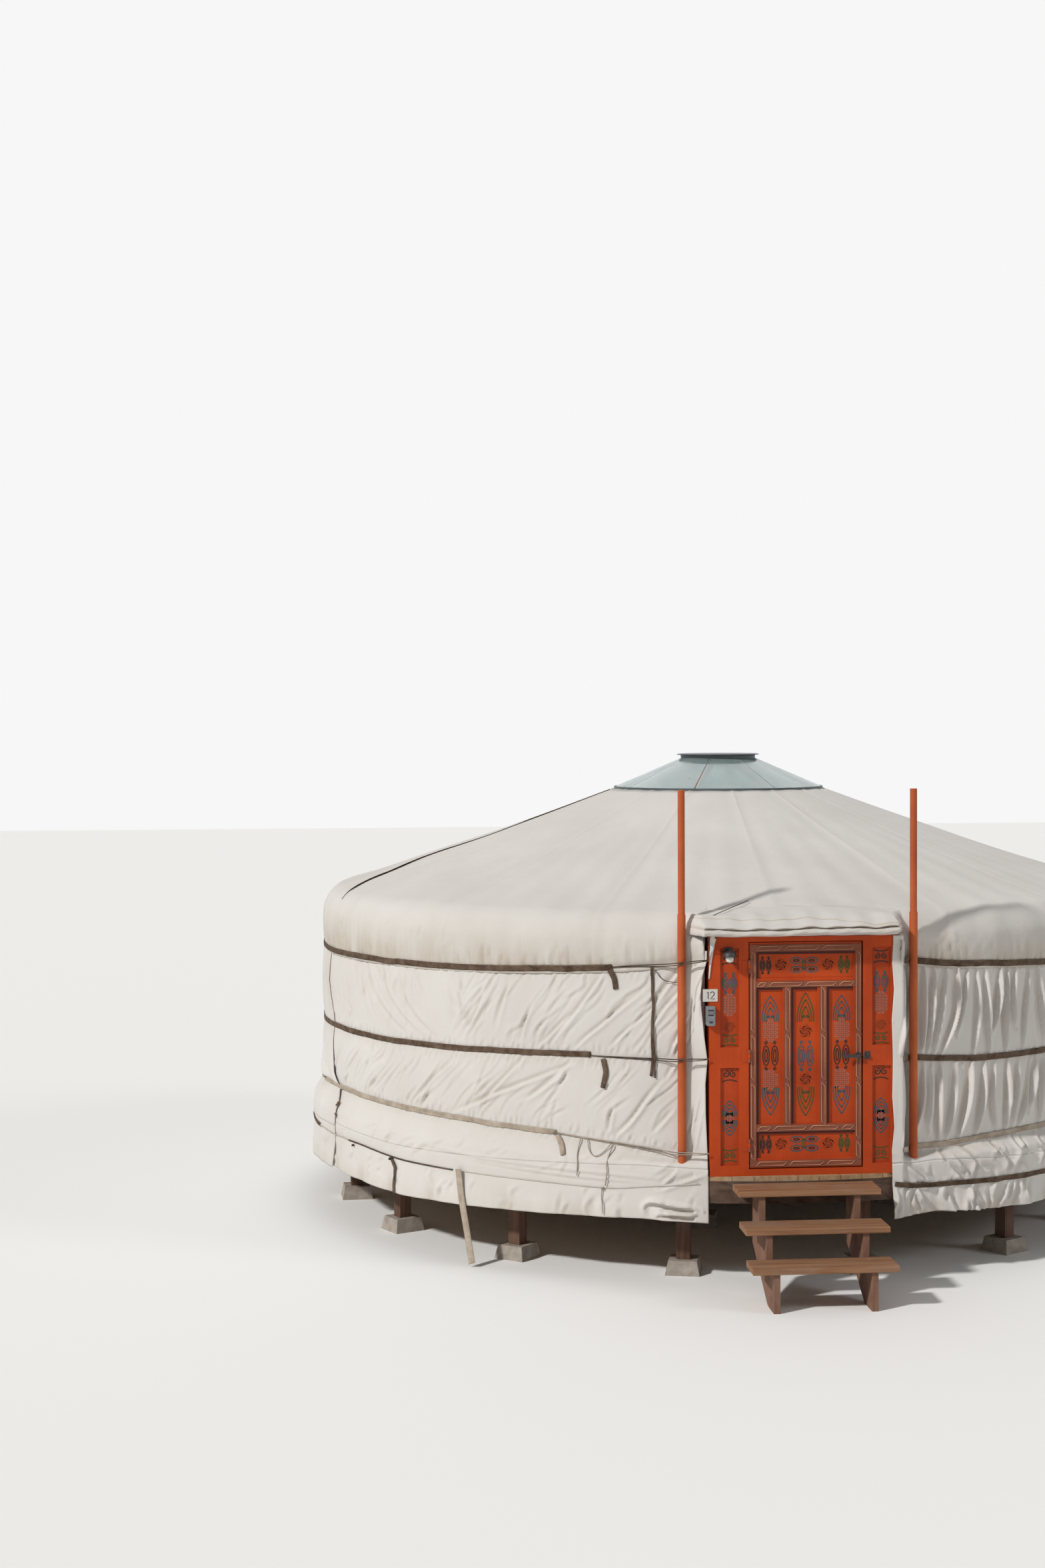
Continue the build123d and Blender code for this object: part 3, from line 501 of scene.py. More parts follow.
HARD_FINISHES = {
    paint_finish: {
        "door_paint": ((0.500, 0.062, 0.007), (0.350, 0.040, 0.006), (0.30, 0.13, 0.07)),
        "pole_paint": ((0.500, 0.115, 0.030), (0.360, 0.070, 0.020), (0.30, 0.19, 0.13)),
        "door_panel": ((0.450, 0.055, 0.008), (0.320, 0.038, 0.007), (0.20, 0.09, 0.05)),
        "moulding_paint": ((0.255, 0.082, 0.046), (0.180, 0.056, 0.034), (0.16, 0.08, 0.05)),
        "bead_paint": ((0.600, 0.280, 0.150), (0.470, 0.200, 0.105), (0.30, 0.16, 0.10)),
        # Dark paint that stands for shade: beside each bead, with dirt, and as the mouldings' shadows in the panel
        # bevels.
        "groove_paint": ((0.070, 0.013, 0.009), (0.045, 0.010, 0.008), (0.15, 0.05, 0.03)),
        "roof_pole_paint": ((0.52, 0.13, 0.03), (0.40, 0.09, 0.025), (0.42, 0.24, 0.13)),
        "scroll_blue": ((0.080, 0.094, 0.104), (0.046, 0.060, 0.070), (0.30, 0.18, 0.12)),
        "scroll_pink": ((0.380, 0.150, 0.105), (0.290, 0.110, 0.080), (0.36, 0.20, 0.14)),
        "scroll_brown": ((0.058, 0.026, 0.018), (0.040, 0.020, 0.015), (0.25, 0.12, 0.08)),
        "scroll_olive": ((0.090, 0.080, 0.020), (0.060, 0.054, 0.015), (0.26, 0.15, 0.07)),
        "scroll_rust": ((0.300, 0.042, 0.008), (0.230, 0.034, 0.008), (0.22, 0.09, 0.05)),
    },
    timber_finish: {
        "step_timber": ((0.160, 0.072, 0.034), (0.305, 0.160, 0.082), (0.06, 1, 1), 0.72),
        "stringer_timber": ((0.130, 0.062, 0.038), (0.240, 0.130, 0.085), (1, 0.15, 0.15), 0.75),
        "post_timber": ((0.070, 0.036, 0.024), (0.165, 0.090, 0.060), (1, 1, 0.06), 0.85),
        # deck_timber is weathered dark brown wood, made darker still as painted shade for the rim, kerb and joists
        # under the door.
        "deck_timber": ((0.050, 0.028, 0.020), (0.130, 0.080, 0.055), (0.3, 0.3, 0.6), 0.88),
        "floor_timber": ((0.250, 0.150, 0.075), (0.430, 0.290, 0.160), (1, 0.05, 1), 0.6),
        "lattice_timber": ((0.300, 0.120, 0.045), (0.480, 0.230, 0.095), (0.5, 0.5, 0.2), 0.6),
    },
    cast_finish: {
        "concrete_block": ((0.240, 0.200, 0.165), (0.420, 0.375, 0.325)),
        "black_iron": ((0.012, 0.012, 0.013), (0.040, 0.038, 0.036), 0.5, 40, 0.0, 0.0008),
        "crown_lid": ((0.050, 0.062, 0.066), (0.105, 0.120, 0.122), 0.5, 6, 0.3, 0.001),
        "white_plate": ((0.50, 0.47, 0.43), (0.68, 0.66, 0.62), 0.35, 9, 0.0, 0.0003),
        "key_box_metal": ((0.155, 0.168, 0.185), (0.270, 0.285, 0.305), 0.45, 30, 0.4, 0.0008),
        "lamp_glass": ((0.62, 0.60, 0.55), (0.80, 0.78, 0.72), 0.3, 12, 0.0, 0.0002),
    },
}
hard = {"crown_glass": glass_finish()}
for make, table in HARD_FINISHES.items():
    hard.update({name: make(name, *values) for name, values in table.items()})
black_iron, box_metal = hard["black_iron"], hard["key_box_metal"]
bead_paint, groove_paint = hard["bead_paint"], hard["groove_paint"]

FINISH_NODES = {
    "floor_timber": ["deck_boards"],
    "deck_timber": ["deck_rim", "deck_kerb", "deck_joists"],
    "post_timber": ["platform_posts"],
    "concrete_block": ["platform_blocks"],
    "roof_pole_paint": ["roof_poles_right", "roof_poles_left", "crown_ring", "crown_ribs", "crown_posts"],
    "crown_glass": ["crown_panes"],
    "crown_lid": ["crown_cap", "crown_curb"],
    "door_paint": ["door_frame", "door_leaf", "hinge_frame_side"],
    "door_panel": ["side_panels"],
    "moulding_paint": ["leaf_mouldings", "hinge_leaf_side"],
    "black_iron": ["door_latch", "latch_keeper", "wall_lamp"],
    "lamp_glass": ["lamp_bulb"],
    "white_plate": ["number_plate"],
    "key_box_metal": ["key_box"],
    "pole_paint": ["poles_lower", "poles_upper"],
    "stringer_timber": ["step_stringers"],
    "step_timber": ["step_tread_top", "step_tread_middle", "step_tread_bottom"],
    "lattice_timber": [f"lattice_wall_{k}" for k in range(1, 6)],
}
for name, dressed in FINISH_NODES.items():
    for node in dressed:
        nodes[node].data.materials.clear()
        nodes[node].data.materials.append(hard[name])
print(sum(len(dressed) for dressed in FINISH_NODES.values()), "solids of the frame have their finish")

# %% [markdown]
# ## Where things are on the round wall
#
# A bearing is the angle from the door, and it grows from the door's right side round the back to its
# left side, at 360. The bands and ties rise and fall as they go round. Their heights were read off
# the photograph at a few bearings; between those, the line is smoothed, because webbing has no kinks.

# %% Bearings, heights and small shape helpers
ROOF_APEX, ROOF_SLOPE = 3.4015, 0.339
WALL_R, EAVE_R, EAVE_BEND, CROWN_EDGE = 3.070, 3.0765, 0.200, 0.815
RIM_TOP, SKIRT_R = 0.772, 3.157
UPPER_BAND = [(10, 2.105), (15.5, 2.066), (19.5, 2.043), (35, 2.0), (60, 1.97), (120, 1.955),
              (180, 1.96), (240, 1.955), (284, 1.957), (297, 1.97), (310, 1.977), (321, 1.995),
              (332, 2.025), (336, 2.034), (341.3, 2.059), (345.7, 2.076), (350, 2.11)]
MIDDLE_BAND = [(10, 1.455), (16.6, 1.425), (24.4, 1.396), (60, 1.39), (120, 1.40), (180, 1.405),
               (240, 1.395), (276, 1.398), (300, 1.412), (315, 1.432), (332, 1.457), (350, 1.455)]
LOWER_BAND = [(10, 0.847), (21, 0.85), (25, 0.871), (45, 0.90), (90, 0.93), (180, 0.94),
              (260, 0.955), (284, 0.962), (304, 0.960), (315, 0.954), (329, 0.929), (337, 0.891),
              (342, 0.864), (350, 0.842)]
SKIRT_TIE = [(10, 0.645), (14, 0.606), (30, 0.590), (60, 0.60), (180, 0.60), (297, 0.640),
             (306, 0.612), (327, 0.612), (337.6, 0.600), (342, 0.626), (350, 0.668)]
SKIRT_HEM = [(10, 0.396), (17, 0.430), (26, 0.398), (50, 0.40), (90, 0.36), (150, 0.31), (200, 0.29),
             (240, 0.30), (262, 0.34), (285, 0.40), (294, 0.387), (306, 0.369), (318, 0.388),
             (332, 0.409), (341, 0.417), (350, 0.397)]
FINE = np.arange(0, 360.01, 0.25)
SMOOTH = np.exp(-np.linspace(-2.5, 2.5, 25) ** 2)
SMOOTH /= SMOOTH.sum()


def height_of(track, bearing):
    """The smoothed height of a band at bearings."""
    line = np.interp(FINE, *zip(*track))
    padded = np.pad(line, 12, mode="edge")
    return np.interp(bearing, FINE, np.convolve(padded, SMOOTH, "valid"))


def at(bearing, radius, z):
    """Points from bearings, distances from the centre and heights."""
    a = np.radians(bearing)
    radius, z = np.broadcast_to(radius, a.shape), np.broadcast_to(z, a.shape)
    return np.stack([radius * np.sin(a), -radius * np.cos(a), z], -1)


def roof_z(radius):
    return ROOF_APEX - ROOF_SLOPE * radius


def step(x, low, high):
    """A smooth step from 0 at low to 1 at high."""
    t = np.clip((x - low) / (high - low), 0, 1)
    return t * t * (3 - 2 * t)


def hump(x, low, high):
    """Half a sine wave from low to high, and 0 outside."""
    return np.sin(np.pi * np.clip((x - low) / (high - low), 0, 1))


def bell(x, middle, width):
    """A soft bump that is 1 at its middle."""
    return np.exp(-((x - middle) / width) ** 2)


def smooth_line(points):
    """A soft curve through a few points."""
    points = np.array(points, float)
    t = np.linspace(0, 1, len(points))
    fine = np.linspace(0, 1, 14)
    line = np.stack([np.interp(fine, t, points[:, k]) for k in range(points.shape[1])], -1)
    for _ in range(3):
        line[1:-1] = (line[:-2] + 2 * line[1:-1] + line[2:]) / 4
    return line


def creased(s, z, creases):
    """Heights that creases add at points (s, z): a groove with a ridge along one side of it."""
    total = np.zeros_like(s)
    for width, depth, line in creases:
        line = smooth_line(line)
        reach = 4 * width
        near = ((s > line[:, 0].min() - reach) & (s < line[:, 0].max() + reach)
                & (z > line[:, 1].min() - reach) & (z < line[:, 1].max() + reach))
        if not near.any():
            continue
        p = np.stack([s[near], z[near]], -1)
        best = np.full(len(p), 9.0)
        side = np.zeros(len(p))
        along = np.zeros(len(p))
        for k in range(len(line) - 1):
            run = line[k + 1] - line[k]
            t = np.clip((p - line[k]) @ run / (run @ run), 0, 1)
            away = p - line[k] - t[:, None] * run
            distance = np.hypot(away[:, 0], away[:, 1])
            closer = distance < best
            best = np.where(closer, distance, best)
            side = np.where(closer, np.sign(run[0] * away[:, 1] - run[1] * away[:, 0]), side)
            along = np.where(closer, (k + t) / (len(line) - 1), along)
        q = best * side / width
        taper = np.sin(np.pi * np.clip(along, 0.03, 0.97)) ** 0.6
        total[near] += depth * taper * (0.75 * bell(q, 1.4, 1.2) - bell(q, 0, 1))
    return total


def mesh_points(piece):
    """A piece's points as rows of x, y and z."""
    points = np.zeros(len(piece.data.vertices) * 3)
    piece.data.vertices.foreach_get("co", points)
    return points.reshape(-1, 3)


def mesh_piece(name, points, faces, finish, body="yurt", smooth=True, uv=None, soil_and_shade=None):
    """A mesh object at the origin with its finish, body and slot."""
    mesh = bpy.data.meshes.new(name)
    mesh.from_pydata(np.asarray(points).tolist(), [], np.asarray(faces).tolist()
                     if isinstance(faces, np.ndarray) else faces)
    mesh.materials.append(finish)
    if uv is not None:
        layer = mesh.uv_layers.new(name="cloth")
        corner = np.zeros(len(mesh.loops), np.int32)
        mesh.loops.foreach_get("vertex_index", corner)
        layer.data.foreach_set("uv", np.asarray(uv, np.float32)[corner].ravel())
    if soil_and_shade is not None:
        mesh.attributes.new("soil_and_shade", "FLOAT", "POINT").data.foreach_set("value", soil_and_shade.astype(np.float32))
    if smooth:
        mesh.shade_smooth()
    mesh.update()
    piece = placed(name, mesh)
    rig.ride(piece, body)
    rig.slot(piece, slots[finish.name])
    return piece


def grid_faces(columns, rows):
    """Quads of a grid whose points run column by column, upwards, facing out of the round."""
    k = (np.arange(columns - 1)[:, None] * rows + np.arange(rows - 1)[None, :]).ravel()
    return np.stack([k, k + rows, k + rows + 1, k + 1], 1)


def thicken(piece, thickness):
    """Cloth gets its thickness inwards, so the outside stays where it is."""
    solid = piece.modifiers.new("cloth thickness", "SOLIDIFY")
    solid.thickness = thickness
    solid.offset = -1
    return piece


print("upper band height at the door's left:", round(float(height_of(UPPER_BAND, 340)), 3))

# %% [markdown]
# ## The creases in the wall's canvas
#
# Creases are what makes canvas look like canvas. Cloth simulation would drape them somewhere, but
# not where they are in the photograph. So each clear crease is a short line in bearing and height
# with a width and a depth, and seeded random ones fill the rest. On the left the cloth is pulled up
# towards the door, so its creases are fine and slanted. On the right it is slack and hangs in deep
# upright folds. Close to each band it is gathered into many small puckers.

# %% Crease lines
def arc(bearing):
    """Metres along the wall at a bearing."""
    return np.radians(bearing) * WALL_R


SEEN_WIDTH, SEEN_DEPTH = 0.8, 1.3
RIGHT_WIDE, BACK_WIDE = (0.013, 0.024), (0.020, 0.032)
SEEN_LEFT = [
    (0.016, 0.013, [(336.0, 1.999), (334.1, 1.864), (332.5, 1.735), (330.8, 1.638), (328.8, 1.506)]),
    (0.015, 0.011, [(340.9, 1.889), (338.0, 1.773), (335.5, 1.65), (333.4, 1.566), (332.2, 1.49)]),
    (0.014, 0.011, [(342.0, 1.779), (339.8, 1.671), (337.8, 1.576), (336.9, 1.508)]),
    (0.015, 0.014, [(345.5, 2.044), (344.2, 1.951), (342.5, 1.819)]),
    (0.014, 0.011, [(345.5, 1.901), (343.5, 1.781), (342.2, 1.675)]),
    (0.013, 0.012, [(345.5, 1.627), (344.7, 1.548), (344.1, 1.469)]),
    (0.013, 0.011, [(345.5, 1.44), (344.4, 1.391), (343.6, 1.311)]),
    (0.017, 0.015, [(343.2, 1.311), (341.2, 1.177), (339.5, 1.042), (337.4, 0.931)]),
    (0.020, 0.010, [(331.8, 1.416), (329.7, 1.303), (327.5, 1.202), (324.9, 1.124)]),
    (0.016, 0.010, [(337.2, 1.128), (336.7, 1.021), (336.5, 0.928)]),
    (0.016, 0.009, [(344.7, 1.13), (342.2, 0.969)]),
    (0.014, 0.016, [(348.8, 2.059), (347.6, 1.915), (346.9, 1.732), (346.7, 1.576)]),
    (0.012, 0.012, [(349.0, 1.994), (348.3, 1.837), (348.2, 1.707)]),
    (0.014, 0.014, [(348.0, 1.252), (347.3, 1.12), (346.6, 0.976)]),
    (0.013, 0.013, [(348.5, 1.161), (347.6, 0.977), (347.1, 0.859)]),
    (0.016, 0.022, [(348.5, 0.73), (345.1, 0.66), (343.2, 0.617)]),
    (0.014, 0.018, [(345.0, 0.739), (343.2, 0.644)]),
    (0.016, 0.046, [(341.7, 0.496), (342.4, 0.517), (344.6, 0.489), (348.0, 0.468)]),
    (0.014, 0.040, [(343.2, 0.434), (345.1, 0.438), (347.0, 0.428), (348.0, 0.449)]),
    (0.022, 0.008, [(295.9, 1.925), (297.9, 1.731), (301.5, 1.589), (305.6, 1.472)]),
    (0.022, 0.008, [(303.9, 1.922), (305.1, 1.728), (308.0, 1.584), (311.3, 1.483)]),
    (0.020, 0.007, [(300.0, 1.93), (301.2, 1.75), (304.5, 1.60), (308.5, 1.48)]),
    (0.020, 0.007, [(319.5, 1.906), (318.6, 1.71), (315.7, 1.505)]),
    (0.018, 0.008, [(323.4, 1.957), (322.5, 1.802), (321.2, 1.586)]),
    (0.015, 0.010, [(326.6, 1.777), (325.4, 1.64), (324.8, 1.523)]),
    (0.016, 0.011, [(332.0, 1.735), (329.7, 1.616), (327.4, 1.494)]),
    (0.018, 0.009, [(294.0, 1.299), (287.5, 1.065)]),
    (0.018, 0.010, [(303.1, 1.257), (297.3, 1.015)]),
    (0.017, 0.010, [(314.8, 1.364), (311.2, 1.227), (308.2, 1.051)]),
    (0.017, 0.012, [(325.2, 1.41), (321.2, 1.202), (318.5, 1.073)]),
    (0.017, 0.012, [(332.0, 1.396), (323.7, 1.213), (314.2, 0.99)]),
    (0.013, 0.007, [(310.0, 0.74), (322.0, 0.700), (334.0, 0.690), (344.0, 0.66)]),
    (0.013, 0.006, [(316.0, 0.700), (330.0, 0.655), (341.0, 0.640)]),
]


def random_creases(rng, count, bearings, heights, lean, length, width, depth):
    """Slanted creases at random places; lean is metres along the wall for each metre up."""
    made = []
    for _ in range(count):
        s = arc(rng.uniform(*bearings))
        z = rng.uniform(*heights)
        long = rng.uniform(*length)
        slant = rng.normal(*lean)
        up = long / math.hypot(1, slant)
        bow = rng.normal(0, 0.02)
        low, high = max(z - up / 2, heights[0]), min(z + up / 2, heights[1])
        ends = [(s + slant * (low - z), low), (s + bow, (low + high) / 2), (s + slant * (high - z), high)]
        made.append((rng.uniform(*width), rng.uniform(*depth), ends))
    return made


def spaced(rng, bearings, spacing):
    """Bearings a random distance apart. Each distance is drawn when the next bearing is asked for."""
    bearing = bearings[0]
    while bearing < bearings[1]:
        yield bearing
        bearing += math.degrees(rng.uniform(*spacing) / WALL_R)


def puckers(rng, bearings, track, below, above, spacing, depth):
    """Short upright creases where the cloth is gathered at a band."""
    made = []
    for bearing in spaced(rng, bearings, spacing):
        s, z = arc(bearing), height_of(track, bearing)
        for start, end in ((-0.02, -below), (0.02, above)):
            far = end * rng.uniform(0.35, 1.0)
            shift = rng.normal(0, 0.012) + 0.25 * far
            line = [(s, z + start * 0.2), (s + shift * 0.4, z + far * 0.5), (s + shift, z + far)]
            made.append((rng.uniform(0.007, 0.012), rng.uniform(0.4, 1.0) * depth, line))
    return made


def hanging_folds(rng, bearings, low_track, high_track, pitch, depth, width):
    """Deep upright folds that hang from one band to the next."""
    made = []
    for bearing in spaced(rng, bearings, pitch):
        s, foot, head = arc(bearing), height_of(low_track, bearing), height_of(high_track, bearing)
        lean = rng.normal(0.03, 0.035)
        bow = rng.normal(0, 0.018)
        cut = rng.uniform(0, 0.3) * (head - foot)
        bottom = foot + 0.02 + (cut if rng.random() < 0.5 else 0)
        top = head - 0.03
        line = [(s - lean, bottom), (s + bow, (bottom + top) / 2), (s + lean * 0.4, top)]
        made.append((rng.uniform(*width), -rng.uniform(*depth), line))
    return made


def creases_of(seed, seen=(), folds=(), scattered=(), gathered=()):
    """Every crease of one length: the seen ones, hanging folds, scattered creases and puckers."""
    rng = np.random.default_rng(seed)
    made = [(SEEN_WIDTH * w, SEEN_DEPTH * d, [(arc(b), z) for b, z in line]) for w, d, line in seen]
    for make, rows in ((hanging_folds, folds), (random_creases, scattered), (puckers, gathered)):
        for row in rows:
            made += make(rng, *row)
    return made


LEFT_CREASES = creases_of(11, seen=SEEN_LEFT, scattered=[
    (44, (316, 347), (1.50, 2.0), (0.75, 0.15), (0.20, 0.50), (0.008, 0.013), (0.004, 0.009)),
    (34, (284, 318), (1.50, 1.92), (-0.35, 0.3), (0.10, 0.3), (0.012, 0.022), (0.004, 0.008)),
    (60, (283, 347), (0.98, 1.38), (0.95, 0.2), (0.20, 0.50), (0.008, 0.013), (0.004, 0.009)),
    (26, (283, 347), (0.66, 0.84), (1.6, 0.8), (0.08, 0.30), (0.011, 0.018), (0.004, 0.008)),
    (40, (283, 348), (0.40, 0.60), (0.3, 0.5), (0.06, 0.16), (0.010, 0.020), (0.005, 0.010)),
], gathered=[
    ((282, 348), MIDDLE_BAND, 0.12, 0.09, (0.030, 0.075), 0.010),
    ((282, 348), LOWER_BAND, 0.05, 0.10, (0.030, 0.075), 0.010),
    ((282, 348), UPPER_BAND, 0.10, 0.02, (0.035, 0.085), 0.005),
])
RIGHT_CREASES = creases_of(23, folds=[
    ((12.8, 84), MIDDLE_BAND, UPPER_BAND, (0.065, 0.14), (0.030, 0.058), RIGHT_WIDE),
    ((12.8, 84), LOWER_BAND, MIDDLE_BAND, (0.060, 0.13), (0.030, 0.058), RIGHT_WIDE),
], scattered=[
    (80, (12, 92), (0.62, 0.84), (-0.3, 0.6), (0.12, 0.22), (0.012, 0.020), (0.014, 0.034)),
    (70, (11.5, 92), (0.39, 0.60), (0.2, 0.5), (0.12, 0.21), (0.013, 0.022), (0.018, 0.040)),
    (70, (12, 96), (0.95, 1.95), (0.1, 0.3), (0.10, 0.35), (0.010, 0.018), (0.003, 0.008)),
], gathered=[
    ((12, 98), MIDDLE_BAND, 0.12, 0.10, (0.04, 0.09), 0.006),
    ((12, 98), LOWER_BAND, 0.06, 0.10, (0.04, 0.09), 0.006),
    ((12, 98), UPPER_BAND, 0.1, 0.02, (0.04, 0.09), 0.006),
])
BACK_CREASES = creases_of(37, folds=[
    ((100, 268), MIDDLE_BAND, UPPER_BAND, (0.16, 0.42), (0.006, 0.014), BACK_WIDE),
    ((100, 268), LOWER_BAND, MIDDLE_BAND, (0.16, 0.42), (0.006, 0.014), BACK_WIDE),
], scattered=[
    (110, (98, 279), (0.98, 1.92), (0.3, 0.6), (0.12, 0.4), (0.018, 0.032), (0.003, 0.008)),
    (60, (98, 279), (0.36, 0.84), (0.4, 0.8), (0.10, 0.3), (0.020, 0.034), (0.003, 0.009)),
])
print(len(LEFT_CREASES), "creases left,", len(RIGHT_CREASES), "right and", len(BACK_CREASES), "at the back")

# %% [markdown]
# ## The wall's canvas, in three lengths
#
# The cover runs from under the roof's hem, in under three bands, out over the kerb, in under a tie
# and down to a loose hem below the deck. It is three lengths: one left of the door, one right of
# it, and one round the back whose edge laps over the left one. The foot of each is a strip sewn on
# at the deck's edge. A length is a grid of points, column by column. Its section is worked out
# first, then the bulges between the bands, then the creases. At the door the edges are drawn
# forward against the frame.

# %% Build the wall's canvas
FOOT_SHARE, CANVAS_T = 0.2, 0.0035
INNERMOST, OVER_RIM = 3.0685, 3.1550
WALL_HIGH, FOOT_HIGH = 1.55, 0.40
ABOVE_BAND, WALL_HEAD, MORE_BY_DOOR = 0.10, 2.16, 0.092
PINCH, DOOR_EDGES = 0.020, (13.3, 347.3)
JAMB_RIGHT = [(10.95, 3.1656), (11.5, 3.1717), (12.1, 3.1786), (12.35, 3.176), (12.6, 3.135),
              (12.9, 3.095), (13.4, 3.076), (15.0, 3.0705), (20, 3.0700)]
JAMB_LEFT = [(340, 3.0700), (344, 3.0700), (345.8, 3.0725), (347, 3.086), (348, 3.108), (348.95, 3.131)]


def wall_section(bearing, z, belly):
    """The canvas's distance from the centre before any crease."""
    upper, middle, lower = (height_of(t, bearing) for t in (UPPER_BAND, MIDDLE_BAND, LOWER_BAND))
    tie, hem = height_of(SKIRT_TIE, bearing), height_of(SKIRT_HEM, bearing)
    wall = np.interp(bearing, *zip(*(JAMB_RIGHT + JAMB_LEFT)))
    wall = wall + belly * (hump(z, lower, middle) ** 0.65 + hump(z, middle, upper) ** 0.65)
    from_door = np.minimum(bearing, 360 - bearing)
    spread = 0.04 + (lower - RIM_TOP - 0.05) * step(from_door, 16, 27)
    over_kerb = step(z, RIM_TOP, RIM_TOP + np.maximum(spread, 0.03))
    skirt = SKIRT_R + 0.006 * hump(z, tie, RIM_TOP) + 0.012 * np.clip((tie - z) / (tie - hem), 0, 1)
    skirt = np.where(bearing < 13, np.maximum(skirt, wall + 0.002), skirt)
    sag = 0.35 * belly * hump(z, RIM_TOP, lower)
    return skirt + (wall + sag - skirt) * over_kerb


def wall_length(name, bearings, rows, belly, creases, lift=0.0):
    """One length of the wall's canvas and the foot strip sewn to it."""
    columns, foot_rows = len(bearings), round(rows * FOOT_SHARE)
    top = np.minimum(height_of(UPPER_BAND, bearings) + ABOVE_BAND, WALL_HEAD)
    top += MORE_BY_DOOR * step(bearings, 13.6, 12.4)
    hem = height_of(SKIRT_HEM, bearings)
    t = np.linspace(0, 1, rows)
    z = hem[:, None] + (top - hem)[:, None] * t[None, :]
    bearing = np.repeat(bearings[:, None], rows, 1)
    b, z = bearing.ravel(), z.ravel()
    s = arc(b)
    radius = wall_section(b, z, belly) + lift
    move = creased(s, z, creases)
    hem_here = np.repeat(hem, rows)
    deep = 1 + 2.2 * step(b, 10, 14) * step(b, 75, 40)
    ripple = deep * (np.sin(s * 13.0 + 1.3 * np.sin(s * 3.1)) * 0.006 + np.sin(s * 31 + 2) * 0.0025)
    move += ripple * step(0.60 - z, 0.0, 0.18)
    move += 0.003 * np.sin(s * 2.3 + z * 5) * np.sin(z * 7 + s)
    if name == "back":
        move += lap_flare(b, z)
    for track in (UPPER_BAND, MIDDLE_BAND, LOWER_BAND, SKIRT_TIE):
        move = move * (1 - 0.82 * bell(z, height_of(track, b), PINCH))
    by_door = (b < DOOR_EDGES[0]) | (b > DOOR_EDGES[1])
    move = np.where(by_door, np.maximum(move, -0.001), move)
    move -= np.minimum(radius + move - np.where(z < RIM_TOP + 0.005, OVER_RIM, INNERMOST), 0.0)
    points = at(b + edge_shift(name, b, z), radius + move, z)
    # Crease valleys get painted shade through the same attribute as the dirt at the hem and the head.
    valley = np.clip(-move / 0.010, 0, 1)
    soil_and_shade = 0.95 * valley ** 1.3 + 0.45 * step(0.10 - (z - hem_here), 0, 0.10) + 0.3 * step(z, 1.86, 2.05)
    # A strip just under the middle and the lower band is made darker.
    for track in (MIDDLE_BAND, LOWER_BAND):
        soil_and_shade += 0.35 * bell(z, height_of(track, b) - 0.03, 0.03)
    uv = np.stack([s, z], -1)
    grids = [v.reshape(columns, rows, -1) for v in (points, uv, soil_and_shade)]
    pieces = []
    for part, first, last, high, on in (
            (f"wall_canvas_{name}", foot_rows - 1, rows, WALL_HIGH, "wall_felt"),
            (f"canvas_foot_{name}", 0, foot_rows, FOOT_HIGH, "deck_kerb")):
        points, uv, soil_and_shade = (grid[:, first:last].reshape(columns * (last - first), -1) for grid in grids)
        quads = grid_faces(columns, last - first)
        pieces.append(mesh_piece(part, points, quads, canvas, uv=uv, soil_and_shade=soil_and_shade.ravel()))
        thicken(pieces[-1], CANVAS_T)
        flat = (round(float(s[-1] - s[0]), 2), high)
        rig.sheet(pieces[-1], flat=flat, held="stretched", rests_on=[on])
        print(part, len(points), "points, cut", flat, "m")
    return pieces


FREE_EDGE_B = 281
EDGES = {
    "left": (346.4, 348.95, 0, [
        (0.35, 0.05), (0.70, 0.0), (0.85, -0.12), (1.10, -0.30), (1.30, -0.34), (1.45, -0.10),
        (1.60, -0.45), (1.80, -0.80), (1.92, -0.85), (2.02, -0.55), (2.10, -0.15), (2.2, -0.1)]),
    "right": (12.4, 10.95, 0, [
        (0.35, 0.3), (0.60, 0.05), (0.85, 0.0), (1.00, 0.25), (1.20, -0.05), (1.45, 0.12),
        (1.70, -0.10), (1.90, 0.20), (2.08, 0.0), (2.2, 0.15)]),
    "back": (262, FREE_EDGE_B, FREE_EDGE_B, [
        (0.35, 287.6), (0.78, 288.5), (0.86, 288.0), (0.964, 285.5), (1.051, 283.4), (1.28, 282.4),
        (1.472, 282.5), (1.71, 279.8), (1.974, 280.9), (2.2, 281.0)]),
}


def edge_shift(name, b, z):
    """How far the edge wanders: beside the door frame, over it, or forward towards the foot."""
    start, end, straight, line = EDGES[name]
    return step(b, start, end) * (np.interp(z, *zip(*line)) - straight)


def lap_flare(b, z):
    """The free edge of the back length stands off the wall, most of all low down."""
    low = 0.052 * bell(z, 0.95, 0.20)
    close = 0.0040 * step(b, 275, FREE_EDGE_B)
    return bell(b, 276, 4.5) * (0.001 + low * (0.6 + 0.4 * np.sin(b * 0.9))) - close


left_bearings = np.concatenate([np.linspace(268, 280.5, 16), np.linspace(281, 344.5, 300),
                                np.linspace(344.75, 348.95, 30)])
right_bearings = np.concatenate([np.linspace(10.95, 13.4, 26), np.linspace(13.55, 38, 165),
                                 np.linspace(38.3, 99, 140)])
back_bearings = np.linspace(97.5, FREE_EDGE_B, 330)
wall_left, foot_left = wall_length("left", left_bearings, 168, 0.017, LEFT_CREASES)
wall_right, foot_right = wall_length("right", right_bearings, 150, 0.009, RIGHT_CREASES)
wall_back, foot_back = wall_length("back", back_bearings, 92, 0.019, BACK_CREASES, 0.0095)
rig.replaces(wall_left, "wall_canvas")
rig.replaces(foot_left, "canvas_skirt")
